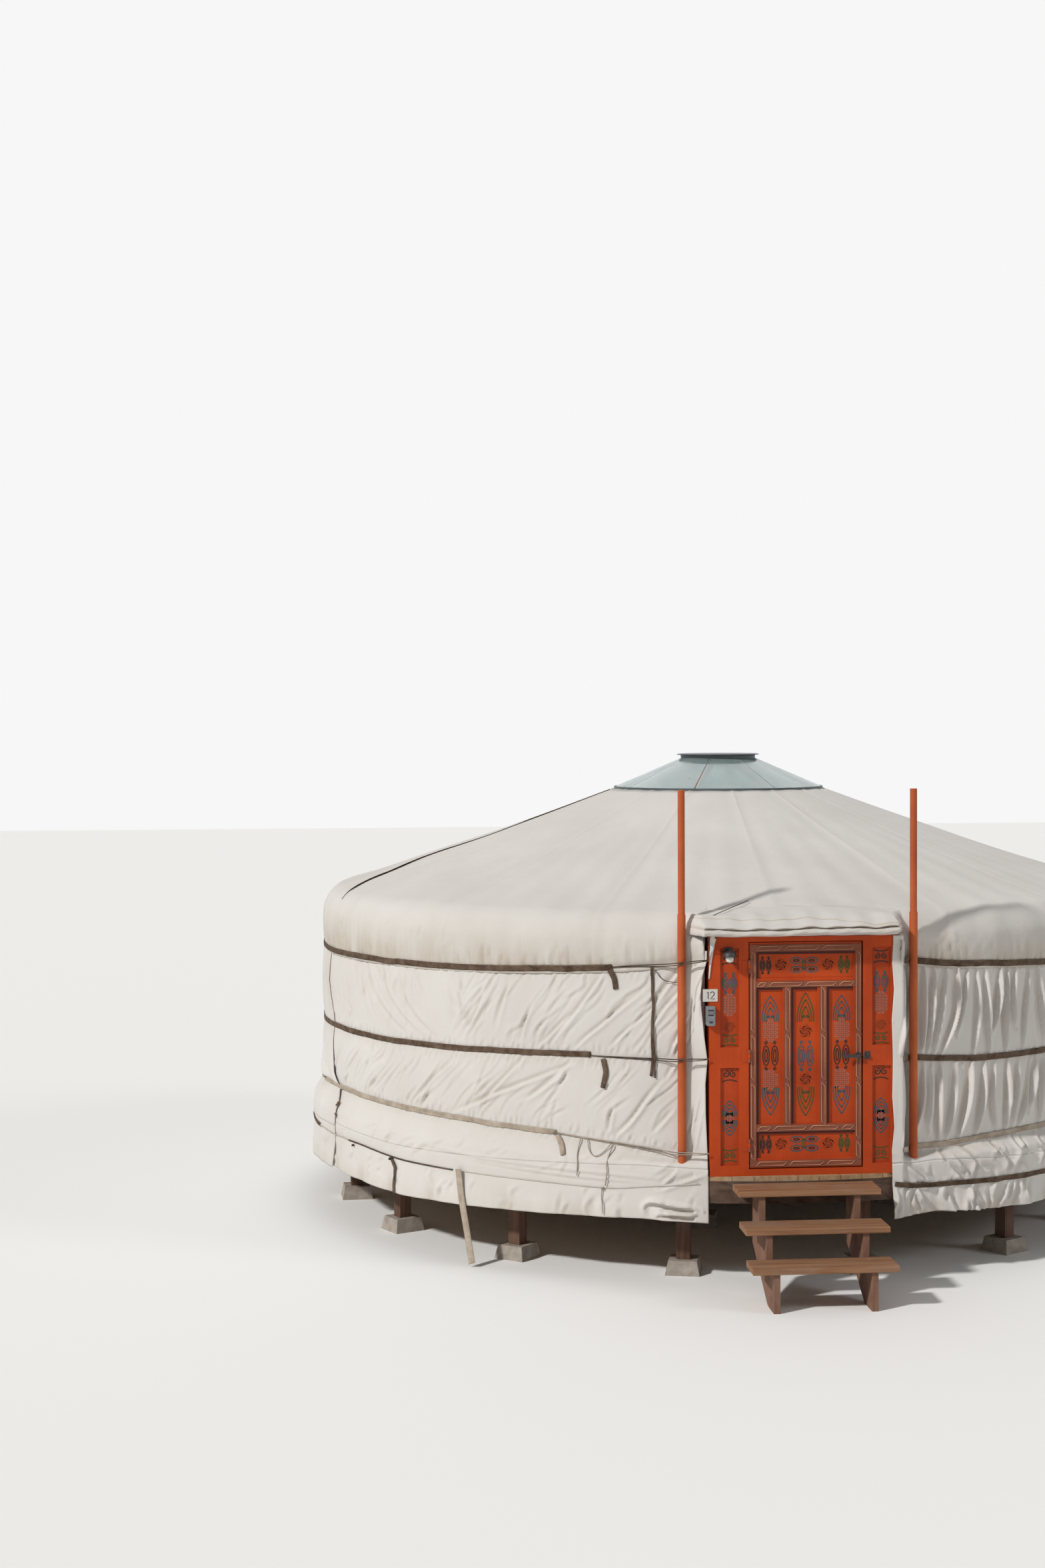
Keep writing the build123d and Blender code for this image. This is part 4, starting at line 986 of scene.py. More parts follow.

# %% [markdown]
# ## The roof cover
#
# The roof is one conical cover sewn from gores. Its shoulder is rounded where it turns down over the
# wall's head, and its hem is pulled in by the upper band, so it is puckered there and soiled with
# yellow-grey dirt, and its puckers are darkened with painted shade. It sags a little between the sixty
# poles. Its section is a slope, a bend and a drop, and the same grid way makes it. Over the door it
# has no hem, because the flap starts there.

# %% Build the roof cover
ROOF_LEAN = math.atan(ROOF_SLOPE)
BEND_X = EAVE_R - EAVE_BEND
BEND_Z = roof_z(BEND_X) - EAVE_BEND / math.cos(ROOF_LEAN)
SLOPE_END = BEND_X + EAVE_BEND * math.sin(ROOF_LEAN)
SLOPE_LENGTH = (SLOPE_END - CROWN_EDGE) / math.cos(ROOF_LEAN)
BEND_LENGTH = EAVE_BEND * (math.pi / 2 - ROOF_LEAN)


def roof_section(length):
    """Radius, height and outward direction at a distance down the cover from the crown."""
    slope = np.clip(length, 0, SLOPE_LENGTH)
    turn = np.clip(length - SLOPE_LENGTH, 0, BEND_LENGTH) / EAVE_BEND
    drop = np.maximum(length - SLOPE_LENGTH - BEND_LENGTH, 0)
    angle = math.pi / 2 - ROOF_LEAN - turn
    on_slope = length <= SLOPE_LENGTH
    radius = np.where(on_slope, CROWN_EDGE + slope * math.cos(ROOF_LEAN), BEND_X + EAVE_BEND * np.cos(angle))
    z = np.where(on_slope, roof_z(radius), BEND_Z + EAVE_BEND * np.sin(angle) - drop)
    return radius, z, np.cos(angle), np.sin(angle)


def length_to(radius):
    """Distance down the cover at which it is so far from the centre."""
    on_slope = (radius - CROWN_EDGE) / math.cos(ROOF_LEAN)
    angle = np.arccos(np.clip((radius - BEND_X) / EAVE_BEND, 0, 1))
    round_bend = SLOPE_LENGTH + EAVE_BEND * (math.pi / 2 - ROOF_LEAN - angle)
    return np.where(radius < SLOPE_END, on_slope, round_bend)


def cover_z(radius):
    """Height of the smooth cover at a distance from the centre."""
    bend = BEND_Z + np.sqrt(np.maximum(EAVE_BEND ** 2 - np.square(radius - BEND_X), 0))
    return np.where(radius < SLOPE_END, roof_z(radius), bend)


FRONT_EDGE_Y, FELT_FRONT_Y = 2.93, 2.965
ROOF_SAG, POLE_DIP, POLES = 0.018, 0.0035, 60
FIRST_SEAM, GORE, HEM_FROM = 9, 22.5, 0.76


def hem_length(bearing):
    """How far the cover reaches down from the crown: to the hem, or to the flap over the door."""
    signed = np.where(bearing > 180, bearing - 360, bearing)
    hem = BEND_Z - (height_of(UPPER_BAND, bearing % 360) - 0.032)
    full = SLOPE_LENGTH + BEND_LENGTH + hem
    short = length_to(FRONT_EDGE_Y / np.cos(np.radians(signed)))
    open_front = step(signed, 12.05, 11.65) * step(signed, -11.62, -11.3)
    return full + (short - full) * open_front


def hem_puckers(rng):
    """Short creases in the hem above the upper band."""
    made = []
    for bearing in spaced(rng, (0, 360), (0.035, 0.11)):
        s, z = arc(bearing), height_of(UPPER_BAND, bearing)
        far = rng.uniform(0.05, 0.17)
        shift = rng.normal(0.0, 0.02)
        line = [(s, z - 0.01), (s + shift * 0.4, z + far * 0.5), (s + shift, z + far)]
        made.append((rng.uniform(0.009, 0.016), rng.uniform(0.004, 0.011), line))
    return made


def slack(radius):
    """How far the roof's cloth sinks between the crown and the eave."""
    return -ROOF_SAG * hump(radius, CROWN_EDGE, SLOPE_END)


def between_poles(radius, b):
    """How far it sinks between two of the sixty roof poles, most towards the eave."""
    return POLE_DIP * step(radius, 1.0, 2.6) * (np.cos(np.radians(b * POLES) + math.pi) - 1)


def roof_half(name, bearings, rows, seed):
    """Half of the roof cover as one grid, from the crown's curb down to the hem."""
    full = hem_length(bearings % 360)
    share = np.concatenate([np.linspace(0, HEM_FROM, rows[0], endpoint=False),
                            np.linspace(HEM_FROM, 1, rows[1])])
    length = full[:, None] * share[None, :]
    b = np.repeat(bearings[:, None], len(share), 1).ravel() % 360
    length = length.ravel()
    radius, z, out, up = roof_section(length)
    outside = step(radius, 1.0, 2.6)
    move = slack(radius) + between_poles(radius, b) * (1 - step(z, 2.25, 2.05))
    seam = np.radians(np.abs((b - FIRST_SEAM) % GORE - GORE / 2)) * radius
    move += 0.0028 * bell(seam, 0, 0.010) - 0.003 * bell(seam, 0.05, 0.05)
    wide = np.radians(b)
    move += outside * 0.006 * (np.sin(7 * wide + 1.7 * np.sin(length * 2)) * np.sin(length * 3.1 + 2 * wide))
    move += 0.0025 * np.sin(23 * wide + 4 * np.sin(length * 2.2 + wide)) * outside
    upper = height_of(UPPER_BAND, b)
    on_hem = step(length, SLOPE_LENGTH + 0.4 * BEND_LENGTH, SLOPE_LENGTH + BEND_LENGTH)
    move += on_hem * 0.013 * hump(z, upper, BEND_Z + 0.09) ** 0.8
    s = arc(b)
    rng = np.random.default_rng(seed)
    folds = creased(s, z, hem_puckers(rng))
    folds += creased(s, z, random_creases(rng, 70, (5, 355), (2.06, 2.26), (0.2, 0.8), (0.05, 0.2),
                                          (0.012, 0.024), (0.002, 0.006)))
    below = 0.006 * step(upper - z, 0.012, 0.035)
    move = (move + on_hem * folds) * (1 - 0.85 * bell(z, upper, PINCH) * on_hem)
    move += below * on_hem * (1 + np.sin(s * 60) * 0.4)
    over_jamb = np.interp(b, *zip(*(JAMB_RIGHT + JAMB_LEFT))) + 0.008 - EAVE_R
    move += np.maximum(over_jamb, 0) * step(z, 2.30, 2.20) * on_hem
    points = at(b, radius + out * move, z + up * move)
    height_share = step(z, 2.27, 1.98)
    # The puckers in the hem get painted shade through the same attribute, on top of dirt that grows towards the hem.
    soil_and_shade = on_hem * (0.30 + 1.26 * height_share + 0.5 * np.clip(-folds / 0.006, 0, 1))
    soil_and_shade += 0.27 * bell(seam, 0, 0.006)
    quads = grid_faces(len(bearings), len(share))[:, ::-1]
    return thicken(mesh_piece(name, points, quads, canvas, uv=np.stack([s, length], -1), soil_and_shade=soil_and_shade), CANVAS_T)


near_door = np.concatenate([np.linspace(270, 347, 215), np.linspace(347.1, 349.2, 30),
                            np.linspace(349.5, 371.5, 50), np.linspace(371.65, 374.2, 30),
                            np.linspace(374.5, 450, 190)])
roof_front = roof_half("roof_cover_front", near_door, (34, 46), 5)
roof_back = roof_half("roof_cover_back", np.linspace(90, 270, 330), (26, 30), 6)
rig.replaces(roof_front, "roof_cover")
for piece in (roof_front, roof_back):
    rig.sheet(piece, flat=(7.2, 3.7), held="stretched", rests_on=["roof_felt"], area=18.4)
    print(piece.name, len(piece.data.vertices), "points")

# %% [markdown]
# ## The felt
#
# Under the canvas is felt, which shows from inside between the slats and the roof poles. It lies
# against the lattice and the poles, and bulges a little into the gaps between them.

# %% Build the felt
FELT_T, FELT_R, FELT_FOOT, FELT_HIGH, FELT_UNDER = 0.018, 3.0605, 0.702, 1.545, 0.0165


def felt_grid(name, columns, rows, section, node):
    """A felt layer from a function of bearing and share up the section."""
    b = np.repeat(columns[:, None], rows, 1).ravel()
    t = np.tile(np.linspace(0, 1, rows), len(columns))
    quads = grid_faces(len(columns), rows)
    piece = mesh_piece(name, section(b, t), quads, felt, uv=np.stack([arc(b), t], -1))
    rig.replaces(piece, node)
    return thicken(piece, FELT_T)


def wall_felt_section(b, t):
    s = arc(b)
    ripple = 0.0015 * np.sin(s * 9 + 3 * np.sin(t * 6)) + 0.001 * np.sin(t * 40 + s * 4)
    return at(b, FELT_R + ripple, FELT_FOOT + FELT_HIGH * t)


def roof_felt_section(b, t):
    length = 0.02 + (SLOPE_LENGTH + 0.5 * BEND_LENGTH - 0.03) * (1 - t)
    signed = np.where(b > 180, b - 360, b)
    limit = length_to(FELT_FRONT_Y / np.cos(np.radians(np.clip(signed, -13, 13))))
    length = np.where(np.abs(signed) < 13, np.minimum(length, limit), length)
    radius, z, out, up = roof_section(length)
    move = slack(radius) + between_poles(radius, b) - FELT_UNDER
    return at(b, radius + out * move, z + up * move)


wall_felt = felt_grid("wall_felt_layer", np.linspace(12.9, 348.5, 300), 26, wall_felt_section, "wall_felt")
roof_felt = felt_grid("roof_felt_layer", np.linspace(0.05, 359.95, 360), 30, roof_felt_section, "roof_felt")
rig.sheet(wall_felt, flat=(18.0, 1.52), held="stretched", rests_on=["lattice_wall_3"])
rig.sheet(roof_felt, flat=(6.7, 6.7), held="laid", rests_on=["roof_poles_left"], area=28.5)
print("felt on the wall and the roof made")

# %% [markdown]
# ## The flap over the door
#
# Over the door the roof cover runs on as a stiff flap of two layers. The upper layer ends in a thin
# fold, and the lower one is rolled. Its shape follows a rule: one section, swept along the door. So
# it is a grid again, with small sags along its length and folded-in ends.

# %% Build the flap
FLAP_LEFT, FLAP_RIGHT = -0.650, 0.618
FOLD_Y, FOLD_Z, FOLD_R = -3.231, 2.319, 0.006
ROLL_Y, ROLL_Z, ROLL_R = -3.236, 2.2865, 0.0165
UPPER_Z, TUCK_Z, UNDER_Z = 2.326, 2.308, 2.2625
FLAP_T = 0.003
SHOULDERS = {-1: (FLAP_LEFT, -0.738), 1: (FLAP_RIGHT, 0.728)}


def flap_section(x):
    """The flap's section at one place along the door, from the roof round to its underside."""
    share = (x - FLAP_LEFT) / (FLAP_RIGHT - FLAP_LEFT)
    wave = math.sin(x * 8 + 0.6) * 0.004 + math.sin(x * 21 + 1) * 0.003 + 0.014 * share ** 3
    lift = wave + 0.004 * math.sin(x * 37)
    layer = -3.095 + 0.012 * math.sin(x * 9) - 0.11 * step(share, 0.45, 0.95)
    points, soil_and_shade = [], []
    upper_layer = (*np.linspace(-2.83, layer + 0.004, 9), layer, layer - 0.004)
    for y in (*upper_layer, *np.linspace(layer - 0.012, FOLD_Y, 4)):
        resting = float(cover_z(math.hypot(x, y))) + 0.002 - 0.014 * step(-y, 2.90, 2.83)
        free = UPPER_Z + lift + (y - FOLD_Y) * 0.278 + (0.007 if y > layer - 0.001 else 0.0)
        lean = step(-y, 2.88, 3.04)
        points.append((y, resting * (1 - lean) + free * lean))
        # A line of painted shade in the step just in front of the upper layer's edge.
        soil_and_shade.append(1.7 if abs(y - layer + 0.006) < 0.004 else 0.15)
    for turn in np.radians((110, 150, 190, 230, 265)):
        points.append((FOLD_Y + FOLD_R * math.cos(turn), FOLD_Z + lift + FOLD_R * math.sin(turn)))
    points.append((FOLD_Y + 0.018, TUCK_Z + wave))
    for turn in np.linspace(math.radians(55), math.radians(300), 14):
        r = ROLL_R + 0.0013 * math.sin(x * 40 + turn * 3) + 0.0008 * math.sin(x * 90 + turn)
        points.append((ROLL_Y + r * math.cos(turn), ROLL_Z + wave + r * math.sin(turn)))
    for y in (-3.20, -3.16, -3.12, -3.09):
        points.append((y, UNDER_Z + wave * 0.3 + 0.0015 * math.sin(x * 25 + y * 40)))
    # Painted shade under the fold and in the tuck between the fold and the roll; lighter marks on the roll and the
    # underside.
    soil_and_shade += [0.5] * 4 + [1.9, 2.2] + [0.6] * 14 + [0.3] * 4
    return points, soil_and_shade


def on_eave(x, z):
    """A place just under the cover's rounded eave, at this height and so far across."""
    rise = min(max(z - BEND_Z, 0.0), EAVE_BEND * math.cos(ROOF_LEAN))
    radius = BEND_X + math.sqrt(EAVE_BEND ** 2 - rise ** 2) - max(z - BEND_Z - rise, 0.0) / ROOF_SLOPE - 0.006
    return (x, -math.sqrt(radius ** 2 - x ** 2), z)


def door_flap(columns=110, fall=9):
    """The flap's points, cloth coordinates, soil with its painted shade, and faces; each end falls away to the eave.
    """
    points, uv, soil_and_shade = [], [], []
    places = [(x, 0.0) for x in np.linspace(FLAP_LEFT, FLAP_RIGHT, columns)]
    for side, (x0, x1) in SHOULDERS.items():
        steps = [(x0 + (x1 - x0) * k / fall, k / fall) for k in range(1, fall + 1)]
        places = steps[::-1] + places if side < 0 else places + steps
    for x, share in places:
        section, section_soil_and_shade = flap_section(min(max(x, FLAP_LEFT), FLAP_RIGHT))
        close = step(share, -0.35, 1.0) if share else 0.0
        length, last = 0.0, section[0]
        for (y, z), marks in zip(section, section_soil_and_shade):
            length += math.hypot(y - last[0], z - last[1])
            last = (y, z)
            here = np.array((x + 0.002 * math.sin(y * 60 + z * 90), y, z))
            points.append(here + (np.array(on_eave(x, z)) - here) * close)
            uv.append((x, length))
            soil_and_shade.append(marks * (1 - close))
    rows = len(section)
    faces = [tuple(reversed(quad)) for quad in grid_faces(len(places), rows).tolist()]
    faces.append(tuple(reversed(range(rows))))
    faces.append(tuple(range((len(places) - 1) * rows, len(places) * rows)))
    return np.array(points), np.array(uv), np.array(soil_and_shade), faces


flap_points, flap_uv, flap_soil_and_shade, flap_faces = door_flap()
flap = mesh_piece("door_flap", flap_points, flap_faces, canvas, uv=flap_uv, soil_and_shade=flap_soil_and_shade)
flap.data.set_sharp_from_angle(angle=math.radians(70))
thicken(flap, FLAP_T)
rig.replaces(flap, "door_canopy")
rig.sheet(flap, flat=(1.27, 0.75), held="folded", rests_on=["roof_cover_front", "door_frame"])
print("flap over the door:", len(flap_points), "points")

# %% [markdown]
# ## How far out the cloth stands
#
# Bands, straps and ropes lie on the cloth. To lay them there, every point of the covers is entered
# in a table of bearing and height that keeps the outermost one. A band then looks up how far out
# the cloth is under it. Ray casts or a shrinkwrap would do too, but a table is quick and simple.

# %% Table of the cloth's distance from the centre
TABLE_B, TABLE_Z = 0.5, 0.010


def cloth_table(pieces):
    """The outermost cloth point in each cell of bearing and height."""
    table = np.zeros((int(360 / TABLE_B), int(2.6 / TABLE_Z)))
    for piece in pieces:
        x, y, z = mesh_points(piece).T
        column = ((np.degrees(np.arctan2(x, -y)) % 360) / TABLE_B).astype(int) % table.shape[0]
        row = np.clip((z / TABLE_Z).astype(int), 0, table.shape[1] - 1)
        np.maximum.at(table, (column, row), np.hypot(x, y))
    for _ in range(4):
        spread = table.copy()
        for turn, axis in ((1, 0), (-1, 0), (1, 1), (-1, 1)):
            spread = np.maximum(spread, np.roll(table, turn, axis))
        table = np.where(table == 0, spread, table)
    return table


CLOTH = cloth_table([wall_left, wall_right, wall_back, foot_left, foot_right, foot_back,
                     roof_front, roof_back])


def cloth_radius(bearing, z):
    """How far out the cloth is at bearings and heights."""
    column = ((np.asarray(bearing) % 360) / TABLE_B).astype(int)
    row = (np.asarray(z) / TABLE_Z).astype(int)
    return np.maximum(CLOTH[column, row], CLOTH[column, np.minimum(row + 1, CLOTH.shape[1] - 1)])


def softened(values, reach):
    """A running mean."""
    window = np.ones(2 * reach + 1) / (2 * reach + 1)
    return np.convolve(np.pad(values, reach, mode="edge"), window, "valid")


def bridged(values, reach):
    """What taut tape does over small creases: it rests on the high places."""
    padded = np.pad(values, reach, mode="edge")
    highest = np.max([padded[k:k + len(values)] for k in range(2 * reach + 1)], 0)
    return softened(highest, reach)


print("cloth at the left, mid height:", round(float(cloth_radius(300.0, 1.6)), 3))

# %% [markdown]
# ## Bands of webbing
#
# Three bands hold the covers to the wall. Two are brown and the lowest is beige. A band is a long
# grid, five points wide, that follows its height line and lies on the cloth. It bows a little across
# and its edges waver, and Solidify gives it the thickness of woven tape. At the left of the door
# each ends in a knot, and a thin rope runs on to the door frame.

# %% Build the webbing
WEB_T, STRAP_T, TAPE_BOW = 0.0028, 0.003, 0.0012
LANES = np.array((-1, -0.5, 0, 0.5, 1))


def tape(name, points, fine, width, finish, outward, thickness):
    """Five lanes of points as one piece that faces outwards, with the tape's thickness."""
    flat, quads = points.reshape(-1, 3), grid_faces(len(fine), 5)
    first = flat[quads[len(quads) // 2]]
    if np.cross(first[1] - first[0], first[3] - first[0]) @ outward < 0:
        quads = quads[:, ::-1]
    uv = np.stack(np.meshgrid(fine, LANES * width / 2, indexing="ij"), -1).reshape(-1, 2)
    return thicken(mesh_piece(name, flat, quads, finish, uv=uv), thickness)


def webbing(name, line, width, finish, seed, out=0.0, every=0.022):
    """Tape along (bearing, z) points, flat on the cloth; out lifts it where cloth hides under it."""
    line = np.array(line, float)
    run = np.hypot(np.diff(arc(line[:, 0])), np.diff(line[:, 1]))
    place = np.concatenate([[0], np.cumsum(run)])
    count = max(int(place[-1] / every), 6)
    fine = np.linspace(0, place[-1], count)
    b, z = np.interp(fine, place, line[:, 0]), np.interp(fine, place, line[:, 1])
    b, z = (np.concatenate([v[:1], softened(v, 1)[1:-1], v[-1:]]) for v in (b, z))
    ahead_s, ahead_z = np.gradient(arc(b)), np.gradient(z)
    size = np.hypot(ahead_s, ahead_z)
    side_s, side_z = -ahead_z / size, ahead_s / size
    waver = softened(np.random.default_rng(seed).normal(0, 1, count), 4) * 0.004
    points = np.zeros((count, 5, 3))
    for k, lane in enumerate(LANES):
        away = lane * width / 2 + waver
        bb, zz = b + np.degrees(away * side_s / WALL_R), z + away * side_z
        r = bridged(cloth_radius(bb, zz), 1) + WEB_T + TAPE_BOW * (2 - lane ** 2) + out
        points[:, k] = at(bb, r, zz)
    return tape(name, points, fine, width, finish, points[count // 2, 2] * (1, 1, 0), WEB_T)


def track_line(track, start, end):
    bearing = np.linspace(start, end, int(abs(end - start) / 1.2) + 2)
    return list(zip(bearing, height_of(track, bearing)))


BAND_START = 12.4
for name, track, end, width, finish, seed in (
        ("band_upper", UPPER_BAND, 337.2, 0.040, brown_webbing, 1),
        ("band_middle", MIDDLE_BAND, 334.4, 0.038, brown_webbing, 2),
        ("band_lower", LOWER_BAND, 329.8, 0.034, beige_webbing, 3)):
    band = webbing(name, track_line(track, BAND_START, end), width, finish, seed)
    if track is UPPER_BAND:
        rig.replaces(band, "tension_bands")
    print(name, len(band.data.vertices), "points")

# %% [markdown]
# ## Rope, with Geometry Nodes
#
# A laid rope is three strands that twist about each other. Modelling each strand is heavy, and a
# smooth tube looks like wire. A three-pointed star swept along the path, turned as it goes, gives
# both the strands and the twist. Sweeping a profile along a path is what Geometry Nodes do well: the
# tree takes a path, its thickness and its twists per metre.

# %% The rope tree
def new_tree(name, **sockets):
    """A Geometry Nodes tree with a geometry input and named size inputs."""
    tree = bpy.data.node_groups.new(name, "GeometryNodeTree")
    tree.interface.new_socket("Geometry", in_out="INPUT", socket_type="NodeSocketGeometry")
    for label, kind in sockets.items():
        tree.interface.new_socket(label.replace("_", " "), in_out="INPUT", socket_type="NodeSocket" + kind)
    tree.interface.new_socket("Geometry", in_out="OUTPUT", socket_type="NodeSocketGeometry")
    return tree, tree.nodes.new("NodeGroupInput"), tree.nodes.new("NodeGroupOutput")


def end_tree(tree, given, result, shape):
    """The end of every tree here: smooth shading, real geometry and the finish."""
    smooth = output_of(tree, "GeometryNodeSetShadeSmooth", {"Geometry": shape})
    real = output_of(tree, "GeometryNodeRealizeInstances", {"Geometry": smooth})
    finished = output_of(tree, "GeometryNodeSetMaterial",
                         {"Geometry": real, "Material": given.outputs["Finish"]})
    tree.links.new(finished, result.inputs[0])
    return tree


def swept_along(tree, path, profile):
    """A profile swept along a path, closed at its ends."""
    return output_of(tree, "GeometryNodeCurveToMesh",
                     {"Curve": path, "Profile Curve": profile, "Fill Caps": True})


def rope_tree():
    tree, given, result = new_tree("laid rope", Thickness="Float", Twists="Float", Finish="Material")
    thick = given.outputs["Thickness"]
    path = output_of(tree, "GeometryNodeMeshToCurve", {"Mesh": given.outputs["Geometry"]})
    even = output_of(tree, "GeometryNodeResampleCurve",
                     {"Curve": path, "Length": times(tree, thick, 0.45)}, mode="LENGTH")
    along = add_node(tree, "GeometryNodeSplineParameter").outputs["Length"]
    angle = times(tree, times(tree, along, given.outputs["Twists"]), 2 * math.pi)
    tilted = output_of(tree, "GeometryNodeSetCurveTilt", {"Curve": even, "Tilt": angle})
    star = output_of(tree, "GeometryNodeCurveStar", {
        "Points": 3, "Inner Radius": times(tree, thick, 0.34), "Outer Radius": times(tree, thick, 0.52)})
    return end_tree(tree, given, result, swept_along(tree, tilted, star))


ROPE = rope_tree()
TWIST = 0.22


def grown(name, tree, source, values, finish, body="yurt"):
    """A tree's result on a source mesh, as a plain mesh piece."""
    carrier = placed(name, source)
    modifier = carrier.modifiers.new("grow", "NODES")
    modifier.node_group = tree
    values = {**values, "Finish": finish}
    for item in tree.interface.items_tree:
        if item.in_out == "INPUT" and item.name in values:
            modifier[item.identifier] = values[item.name]
    ready = carrier.evaluated_get(bpy.context.evaluated_depsgraph_get())
    mesh = bpy.data.meshes.new_from_object(ready)
    carrier.modifiers.clear()
    carrier.data = mesh
    mesh.materials.clear()
    mesh.materials.append(finish)
    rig.ride(carrier, body)
    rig.slot(carrier, slots[finish.name])
    return carrier


def route_points(route):
    """Points along the soft spline through a route's control points."""
    data = bpy.data.curves.new("route", "CURVE")
    data.dimensions = "3D"
    data.resolution_u = 10
    spline = data.splines.new("NURBS")
    spline.points.add(len(route) - 1)
    for point, place in zip(spline.points, route):
        point.co = (*place, 1)
    spline.order_u = 3
    spline.use_endpoint_u = True
    carrier = placed("route", data)
    mesh = bpy.data.meshes.new_from_object(carrier.evaluated_get(bpy.context.evaluated_depsgraph_get()))
    points = [tuple(v.co) for v in mesh.vertices]
    bpy.data.objects.remove(carrier)
    bpy.data.meshes.remove(mesh)
    return points


def rope(name, route, thickness, finish):
    """A laid rope along a route; returns the piece and the points it follows."""
    points = route_points(route)
    source = bpy.data.meshes.new(name)
    source.from_pydata(points, [(k, k + 1) for k in range(len(points) - 1)], [])
    return grown(name, ROPE, source, {"Thickness": thickness, "Twists": TWIST / thickness}, finish), points


def on_cloth(route, out):
    """Control points from (bearing, z) or (bearing, z, extra) points that lie on the cloth."""
    points = []
    for bearing, z, *extra in route:
        under = cloth_radius(bearing + np.linspace(-0.8, 0.8, 5), np.full(5, z))
        r = float(under.max()) + out + (extra[0] if extra else 0.0)
        points.append(tuple(at(bearing, r, z)))
    return points


print("rope tree with", len(ROPE.nodes), "nodes")

# %% [markdown]
# ## Ropes from the bands to the door frame
#
# At the left of the door the webbing ends and two turns of thin rope go on, over the pole, to hooks
# on the frame. They are pulled tight, so they aren't free cords. Each knot is a short rope wound
# round the place where webbing and rope meet.

# %% Tie the bands to the frame
def knot(name, bearing, z, out, size, finish, thickness, seed):
    """A small lumpy knot: a rope that winds round itself."""
    rng = np.random.default_rng(seed)
    centre = at(bearing, cloth_radius(bearing, z) + out, z)
    a = math.radians(bearing)
    side, front = np.array((math.cos(a), math.sin(a), 0)), np.array((math.sin(a), -math.cos(a), 0))
    above = np.array((0, 0, 1))
    route = []
    for k in range(15):
        turn = k * 2.0
        swell = size * (0.75 + 0.25 * rng.random())
        place = swell * (side * math.cos(turn) + above * math.sin(turn * 1.07 + 0.4) * 0.8)
        forward = 0.5 * size * math.sin(turn * 0.55) + rng.normal(0, size * 0.1)
        route.append(tuple(centre + place + front * forward))
    rope(name, route, thickness, finish)


HOOK_X, HOOK_Y = -0.606, -3.118
BAND_ROPES = {
    "upper": (2.106, [(336.6, 2.034), (338.6, 2.049), (341.2, 2.060), (343.6, 2.068, 0.012)]),
    "middle": (1.468, [(333.9, 1.452), (337.0, 1.450), (341.0, 1.449), (343.6, 1.451, 0.012)]),
    "lower": (0.855, [(329.2, 0.928), (333.0, 0.908), (338.0, 0.884), (341.6, 0.862),
                      (343.8, 0.850, 0.012)]),
}
POLE_FRONT = 3.1525

for level, (hook_z, start) in BAND_ROPES.items():
    last_z = start[-1][1]
    finish = pale_rope if level == "lower" else dark_rope
    for strand, (drop, thick) in enumerate(((0.0, 0.009), (-0.013, 0.007))):
        route = on_cloth([(b, z + drop * k / 3, *extra) for k, (b, z, *extra) in enumerate(start)], 0.006)
        for bearing, share in ((345.0, 0.3), (345.8, 0.45), (346.8, 0.65)):
            z = last_z + (hook_z - last_z) * share + drop
            route.append(tuple(at(bearing, POLE_FRONT, z)))
        route += [(-0.640, -3.128, hook_z + drop * 0.6), (HOOK_X, HOOK_Y, hook_z + drop * 0.3)]
        rope(f"rope_{level}_{strand + 1}", route, thick, finish)
    knot(f"knot_{level}", start[0][0] + 0.3, start[0][1], 0.008, 0.014, finish, 0.009, 8)
print("ropes and knots of the three bands made")

# %% [markdown]
# ## Straps, tails and the tie round the foot
#
# What hangs on the wall tells how the cover is held: the ends of the webbing left over after the
# knots, a dark strap that ties the upper and the middle band together by the door, a strap from the
# foot down to the ground, a rope round the foot that gathers the cloth over the deck's edge, and one
# strap up over the roof. Each is laid where it is in the photograph, on whatever cloth is there.

# %% Lay the straps
STRAPS = [
    ("strap_by_door", 0.019, brown_webbing, 0.004,
     [(342.1, 2.055), (342.3, 1.83), (342.2, 1.675), (342.2, 1.453), (342.0, 1.335)]),
    ("strap_by_door_second", 0.011, brown_webbing, 0.007, [(342.2, 1.70), (342.5, 1.454), (342.55, 1.323)]),
    ("tail_upper", 0.034, brown_webbing, 0.005, [(336.8, 2.045), (337.5, 1.96), (337.7, 1.897)]),
    ("tail_middle", 0.034, brown_webbing, 0.005, [(336.0, 1.436), (336.4, 1.35), (336.0, 1.245)]),
    ("tail_lower", 0.031, beige_webbing, 0.005, [(330.0, 0.912), (330.9, 0.85), (331.3, 0.798)]),
    ("strap_on_foot", 0.022, brown_webbing, 0.006,
     [(304.2, 0.604), (305.1, 0.551), (304.9, 0.45), (304.8, 0.368)]),
    ("toggle_upper", 0.016, brown_webbing, 0.006, [(288.0, 0.872), (288.15, 0.845)]),
    ("toggle_lower", 0.016, brown_webbing, 0.006, [(288.6, 0.795), (288.8, 0.765)]),
]
for name, width, finish, out, line in STRAPS:
    webbing(name, line, width, finish, len(name), out, 0.012)


